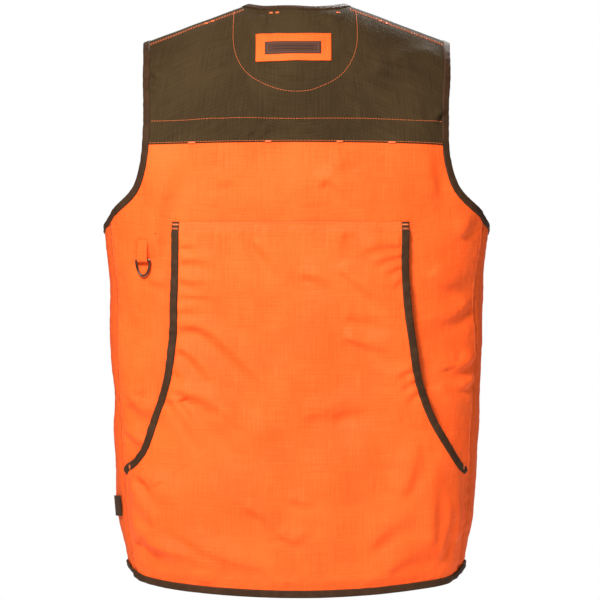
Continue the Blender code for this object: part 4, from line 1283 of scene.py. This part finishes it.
def tape_stitches():
    """A row near the inner edge of each binding tape, in its own colour."""
    lift = CLOTH / 2 + TAPE_CLEARANCE + TAPE_THICKNESS + 0.0002
    inset = TAPE_REACH - 0.0016
    groups = []
    for hand in (LEFT, RIGHT):
        groups.append(seam_line(beside(mouth_path(hand), hand, inset), lift, pouch_point))
        arm = between(armhole_back_path(hand), SHOULDER_TURN_Z, UNDERARM_Z)
        groups.append(seam_line(beside(arm, hand, inset), lift))
    groups.append(seam_line(beside(hem_path(), 1, inset), lift, hem_surface))
    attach(threads("tape_stitching", groups, BROWN_THREAD), "vest_body")


# ---- Fronts --------------------------------------------------------------------------------------


# The zip: its ends, the pitch and reach of its teeth, and where it lies in depth.
ZIP_TOP = -0.158
ZIP_BOTTOM = -0.742
RIGHT_TEETH_BOTTOM = -0.722
TOOTH_PITCH = 0.0026
TEETH = (0.0003, 0.0034)
ZIP_Y = -FRONT_DEPTH + 0.0019


def bend(item):
    """Applies a piece's modifiers and bakes its transform into its mesh."""
    if item.modifiers:
        apply_modifiers(item)
    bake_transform(item)


def apply_modifiers(item):
    graph = bpy.context.evaluated_depsgraph_get()
    graph.update()
    item.data = bpy.data.meshes.new_from_object(item.evaluated_get(graph))
    item.modifiers.clear()


def front_yoke_surface(angle, z, offset=0.0):
    return lapped(angle, z, offset, FRONT_SEAM_Z)


def front_cloth(hand, word):
    turned = hand == LEFT
    yoke = panel(f"front_yoke_cloth_{word}", mirrored(front_yoke_at, hand), 70, 70, BROWN_RIPSTOP,
                 front_yoke_surface, turned)
    bend(yoke)
    declare(yoke, f"front_yoke_{word}")
    body = panel(f"front_cloth_{word}", mirrored(front_panel_at, hand), 90, 220, ORANGE_RIPSTOP,
                 place, turned)
    bend(body)
    declare(body, f"front_panel_{word}")


def front_tapes(hand, word):
    edge = edge_path(mirrored(front_panel_at, hand), u=1)
    arm = joined(
        edge_path(mirrored(front_yoke_at, hand), u=1),
        between(edge, FRONT_SEAM_Z - SEAM_STEP, FRONT_ARMHOLE[-1][1]))
    arm_tape = tape(f"armhole_front_tape_{word}", arm, -hand)
    neck_tape = tape(f"neck_tape_{word}", edge_path(mirrored(front_yoke_at, hand), u=0), hand)
    for item in (arm_tape, neck_tape):
        bend(item)
    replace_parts(arm_tape, f"armhole_front_binding_{word}")
    hem_tape = tape(f"hem_front_tape_{word}", edge_path(mirrored(front_panel_at, hand), v=1), hand)
    trim(hem_tape, f"hem_binding_front_{word}", f"{word}_front")


def front_stitches(hand, word):
    groups = []
    yoke_seam = edge_path(mirrored(front_yoke_at, hand), v=1)
    for distance in (0.0020, 0.0300):
        row = beside(yoke_seam, hand, distance)
        x = np.abs(form_point(*row)[:, 0])
        inside = (x > outline_x(FRONT_NECK, row[1]) + 0.005) & (x < outline_x(FRONT_ARMHOLE, row[1]) - 0.005)
        groups.append(seam_line(cut_off(row, inside), STITCH_LIFT, front_yoke_surface))
    edge = edge_path(mirrored(front_panel_at, hand), u=0)
    groups.append(seam_line(beside(edge, hand, 0.0040)))
    bend(threads(f"front_stitching_{word}", groups, ORANGE_THREAD))


def tooth(hand, z):
    """A moulded tooth with a wider head, which meets its neighbours across the middle."""
    near, far = TEETH
    if hand == RIGHT:
        z += TOOTH_PITCH / 2
    half = 0.00062
    outline = [(near, half * 0.8), (near + 0.0007, half * 1.25), (near + 0.0014, half * 0.7), (far, half)]
    outline += [(x, -rise) for x, rise in reversed(outline)]
    return [(hand * x, ZIP_Y + depth, z + rise) for depth in (-0.0012, 0.0012) for x, rise in outline]


def zip_teeth(hand, word):
    low = ZIP_BOTTOM if hand == LEFT else RIGHT_TEETH_BOTTOM
    vertices = []
    faces = []
    for z in np.arange(low, ZIP_TOP, TOOTH_PITCH):
        base = len(vertices)
        vertices += tooth(hand, float(z))
        count = 8
        faces.append([base + corner for corner in range(count)])
        faces.append([base + count + corner for corner in reversed(range(count))])
        for corner in range(count):
            after = (corner + 1) % count
            faces.append([base + corner, base + count + corner, base + count + after, base + after])
    item = add_mesh(f"zip_row_{word}", vertices, faces, TOOTH, smooth=False)
    shape = bmesh.new()
    shape.from_mesh(item.data)
    bmesh.ops.recalc_face_normals(shape, faces=shape.faces)
    shape.to_mesh(item.data)
    shape.free()
    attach(item, f"{word}_front")
    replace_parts(item, f"zip_teeth_{word}")


def zip_tape(hand, word):
    x = hand * np.linspace(0.0030, 0.0185, 7)
    z = np.linspace(ZIP_TOP + 0.004, ZIP_BOTTOM - 0.002, 160)
    grid_x, grid_z = np.meshgrid(x, z)
    angle = angle_of(grid_x.ravel(), grid_z.ravel(), FRONT)
    under = place(angle, grid_z.ravel(), -0.0012)
    near = smooth_step(np.abs(grid_x.ravel()), 0.003, 0.009)
    under[:, 1] = mix(ZIP_Y, under[:, 1], near)
    uv = np.stack([grid_z.ravel(), grid_x.ravel()], axis=1)
    item = add_mesh(f"zip_tape_{word}_cloth", under, grid_faces(6, 159, turned=hand == LEFT), ZIP_CLOTH, uv)
    thicken(item, 0.0005)
    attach(item, f"{word}_front")
    declare(item, f"zip_tape_{word}")


def pocket_point(x, z, offset):
    angle = angle_of(x, z, FRONT)
    return form_point(angle, z) + form_normal(angle, z) * offset[:, None]


def handed(points, hand):
    return points * np.array([hand, 1, 1])


def pocket(hand, word):
    """A bellows pocket: its face swells, its side folds round, and its mouth hangs open a little."""
    near, far, top, bottom = POCKET
    columns, rows = 84, 100
    u, v = np.meshgrid(stations(columns), stations(rows))
    u, v = u.ravel(), v.ravel()
    turn_u = np.clip(np.minimum(u, 1 - u) / 0.14, 0, 1)
    turn_v = np.clip((1 - v) / 0.14, 0, 1)
    rise = np.sqrt(1 - (1 - turn_u) ** 2) * np.sqrt(1 - (1 - turn_v) ** 2)
    x = mix(near, far, u)
    z = mix(top, bottom, v)
    flat = pocket_point(x, z, np.zeros(len(x)))
    own = soft_waves(flat, (0.0010, 0.060), (0.0004, 0.030))
    sag = 0.0020 * np.sin(pi * u) * np.sin(pi * np.clip(v * 1.1, 0, 1))
    offset = 0.0024 + (POCKET_DEPTH - 0.0016 - sag) * rise ** 0.8 + own * rise
    uv = np.stack([u * (far - near + 0.04), -v * (top - bottom + 0.024)], axis=1)
    item = add_mesh(f"pocket_cloth_{word}", handed(pocket_point(x, z, offset), hand),
                    grid_faces(columns, rows, turned=hand == LEFT), ORANGE_RIPSTOP, uv)
    thicken(item)
    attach(item, f"{word}_front")
    declare(item, f"pocket_{word}")


def flap(hand, word):
    """A flap that steps out over the pocket and hangs down its face, with rounded corners."""
    near, far = POCKET[0] - 0.003, POCKET[1] + 0.003
    columns, rows = 80, 56
    u, v = np.meshgrid(stations(columns), stations(rows))
    u, v = u.ravel(), v.ravel()
    corner = 0.13
    cut = np.clip((corner - np.minimum(u, 1 - u)) / corner, 0, 1)
    length = FLAP_LENGTH * (1 - 0.24 * (1 - np.sqrt(1 - cut ** 2)))
    run = v * (length + 0.012)
    out = mix(0.0030, FLAP_OFFSET, smooth_step(run, -0.004, 0.034))
    down = run - 0.012 * smooth_step(run, 0.0, 0.030)
    x = mix(near, far, u)
    z = FLAP_TOP - down
    flat = pocket_point(x, z, np.zeros(len(x)))
    own = soft_waves(flat, (0.0010, 0.070), (0.0003, 0.032))
    own *= smooth_step(v, 0.1, 0.4)
    uv = np.stack([u * (far - near), -run], axis=1)
    item = add_mesh(f"flap_cloth_{word}", handed(pocket_point(x, z, out + own), hand),
                    grid_faces(columns, rows, turned=hand == LEFT), ORANGE_RIPSTOP, uv)
    thicken(item, 0.0010)
    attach(item, f"{word}_flap")
    declare(item, f"pocket_flap_{word}")


def flap_stitches(hand, word):
    near, far = POCKET[0] + 0.001, POCKET[1] - 0.001
    turns = np.linspace(0, pi, 60)
    x = mix(near, far, (1 - np.cos(turns)) / 2)
    z = FLAP_TOP - 0.024 - (FLAP_LENGTH - 0.029) * np.sin(turns) ** 0.22
    points = handed(pocket_point(x, z, np.full(60, FLAP_OFFSET + 0.0012)), hand)
    normals = handed(form_normal(angle_of(x, z, FRONT), z), hand)
    item = threads(f"flap_stitching_{word}", [stitches(points, normals)], ORANGE_THREAD)
    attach(item, f"{word}_flap")


def fronts():
    for hand, word in HANDS:
        front_cloth(hand, word)
        front_tapes(hand, word)
        front_stitches(hand, word)
        zip_teeth(hand, word)
        zip_tape(hand, word)
        pocket(hand, word)
        flap(hand, word)
        flap_stitches(hand, word)


# ---- CAD nodes that stay, the camera and the light -----------------------------------------------


def finish_cad_nodes():
    """Metal and small trim keep their CAD shape, with softened edges and their own material."""
    kept = {
        "zip_slider": BRONZE, "zip_bail": BRONZE, "zip_pull": BRONZE,
        "pocket_snap_left": BRONZE, "pocket_snap_right": BRONZE,
        "flap_snap_left": BRONZE, "flap_snap_right": BRONZE,
        "zip_stop_left": STEEL, "zip_stop_right": STEEL, "zip_pin": STEEL, "zip_box": STEEL,
        "hanger_loop": BROWN_TAG, "side_tag": BROWN_TAG,
    }
    for name, material in kept.items():
        node = frame["nodes"][name]
        node.data.materials.clear()
        node.data.materials.append(material)
        edge = node.modifiers.new("edge", "BEVEL")
        edge.width = 0.0003
        edge.segments = 2
        edge.limit_method = "ANGLE"


def area_light(name, at, towards, size, power):
    lamp = bpy.data.lights.new(name, "AREA")
    lamp.shape = "DISK"
    lamp.size = size
    lamp.energy = power
    item = add_object(name, lamp)
    item.location = at
    item.rotation_euler = (Vector(towards) - Vector(at)).to_track_quat("-Z", "Y").to_euler()


def world(backdrop, ambient):
    """White behind the vest, and a weaker white light all round it."""
    made = bpy.data.worlds.new("studio")
    made.use_nodes = True
    tree = made.node_tree
    tree.nodes.clear()
    seen = add_node(tree, "ShaderNodeBackground", Color=(1, 1, 1, 1), Strength=backdrop)
    lit = add_node(tree, "ShaderNodeBackground", Color=(1, 1, 1, 1), Strength=ambient)
    path = tree.nodes.new("ShaderNodeLightPath")
    both = add_node(tree, "ShaderNodeMixShader", i0=path.outputs["Is Camera Ray"], i1=lit.outputs[0],
                    i2=seen.outputs[0])
    output = tree.nodes.new("ShaderNodeOutputWorld")
    tree.links.new(both.outputs[0], output.inputs[0])
    bpy.context.scene.world = made


FLOOR_Z = -1.0
FLOOR_RADIUS = 2.0
VEST_MIDDLE = (0, 0, -0.38)


def studio():
    world(backdrop=1.0, ambient=0.33)
    area_light("key", (0.75, 2.05, 1.15), VEST_MIDDLE, size=0.8, power=104)
    area_light("front_fill", (-0.6, -2.1, 1.35), VEST_MIDDLE, size=1.0, power=80)
    mesh = bpy.data.meshes.new("floor")
    shape = bmesh.new()
    bmesh.ops.create_circle(shape, cap_ends=True, segments=96, radius=FLOOR_RADIUS)
    shape.to_mesh(mesh)
    shape.free()
    floor = add_object("floor", mesh)
    floor.location.z = FLOOR_Z
    made, tree, shader = new_material("floor_paper", 0.9)
    at = tree.nodes.new("ShaderNodeTexCoord").outputs["Object"]
    tone = noise(tree, at, 4.0)
    tree.links.new(blend_colours(tree, tone, colour(0.80, 0.80, 0.79), colour(0.84, 0.84, 0.83)),
                   shader.inputs["Base Color"])
    mesh.materials.append(made)


def camera():
    """Square on to the back, from far enough away that the vest keeps its proportions."""
    lens = bpy.data.cameras.new("camera")
    sensor_width = 36
    distance = 8.0
    framed_width = 0.7635
    plane_y = 0.115
    lens.sensor_width = sensor_width
    lens.lens = sensor_width * (distance - plane_y) / framed_width
    item = add_object("camera", lens)
    item.location = (-0.0045, distance, -0.3812)
    item.rotation_euler = (radians(90), 0, radians(180))
    bpy.context.scene.camera = item
    bpy.context.scene.view_settings.view_transform = "Standard"


back()
tapes()
labels()
d_ring()
d_ring_tab()
yoke_stitches()
back_stitches()
tape_stitches()
fronts()
finish_cad_nodes()
studio()
camera()
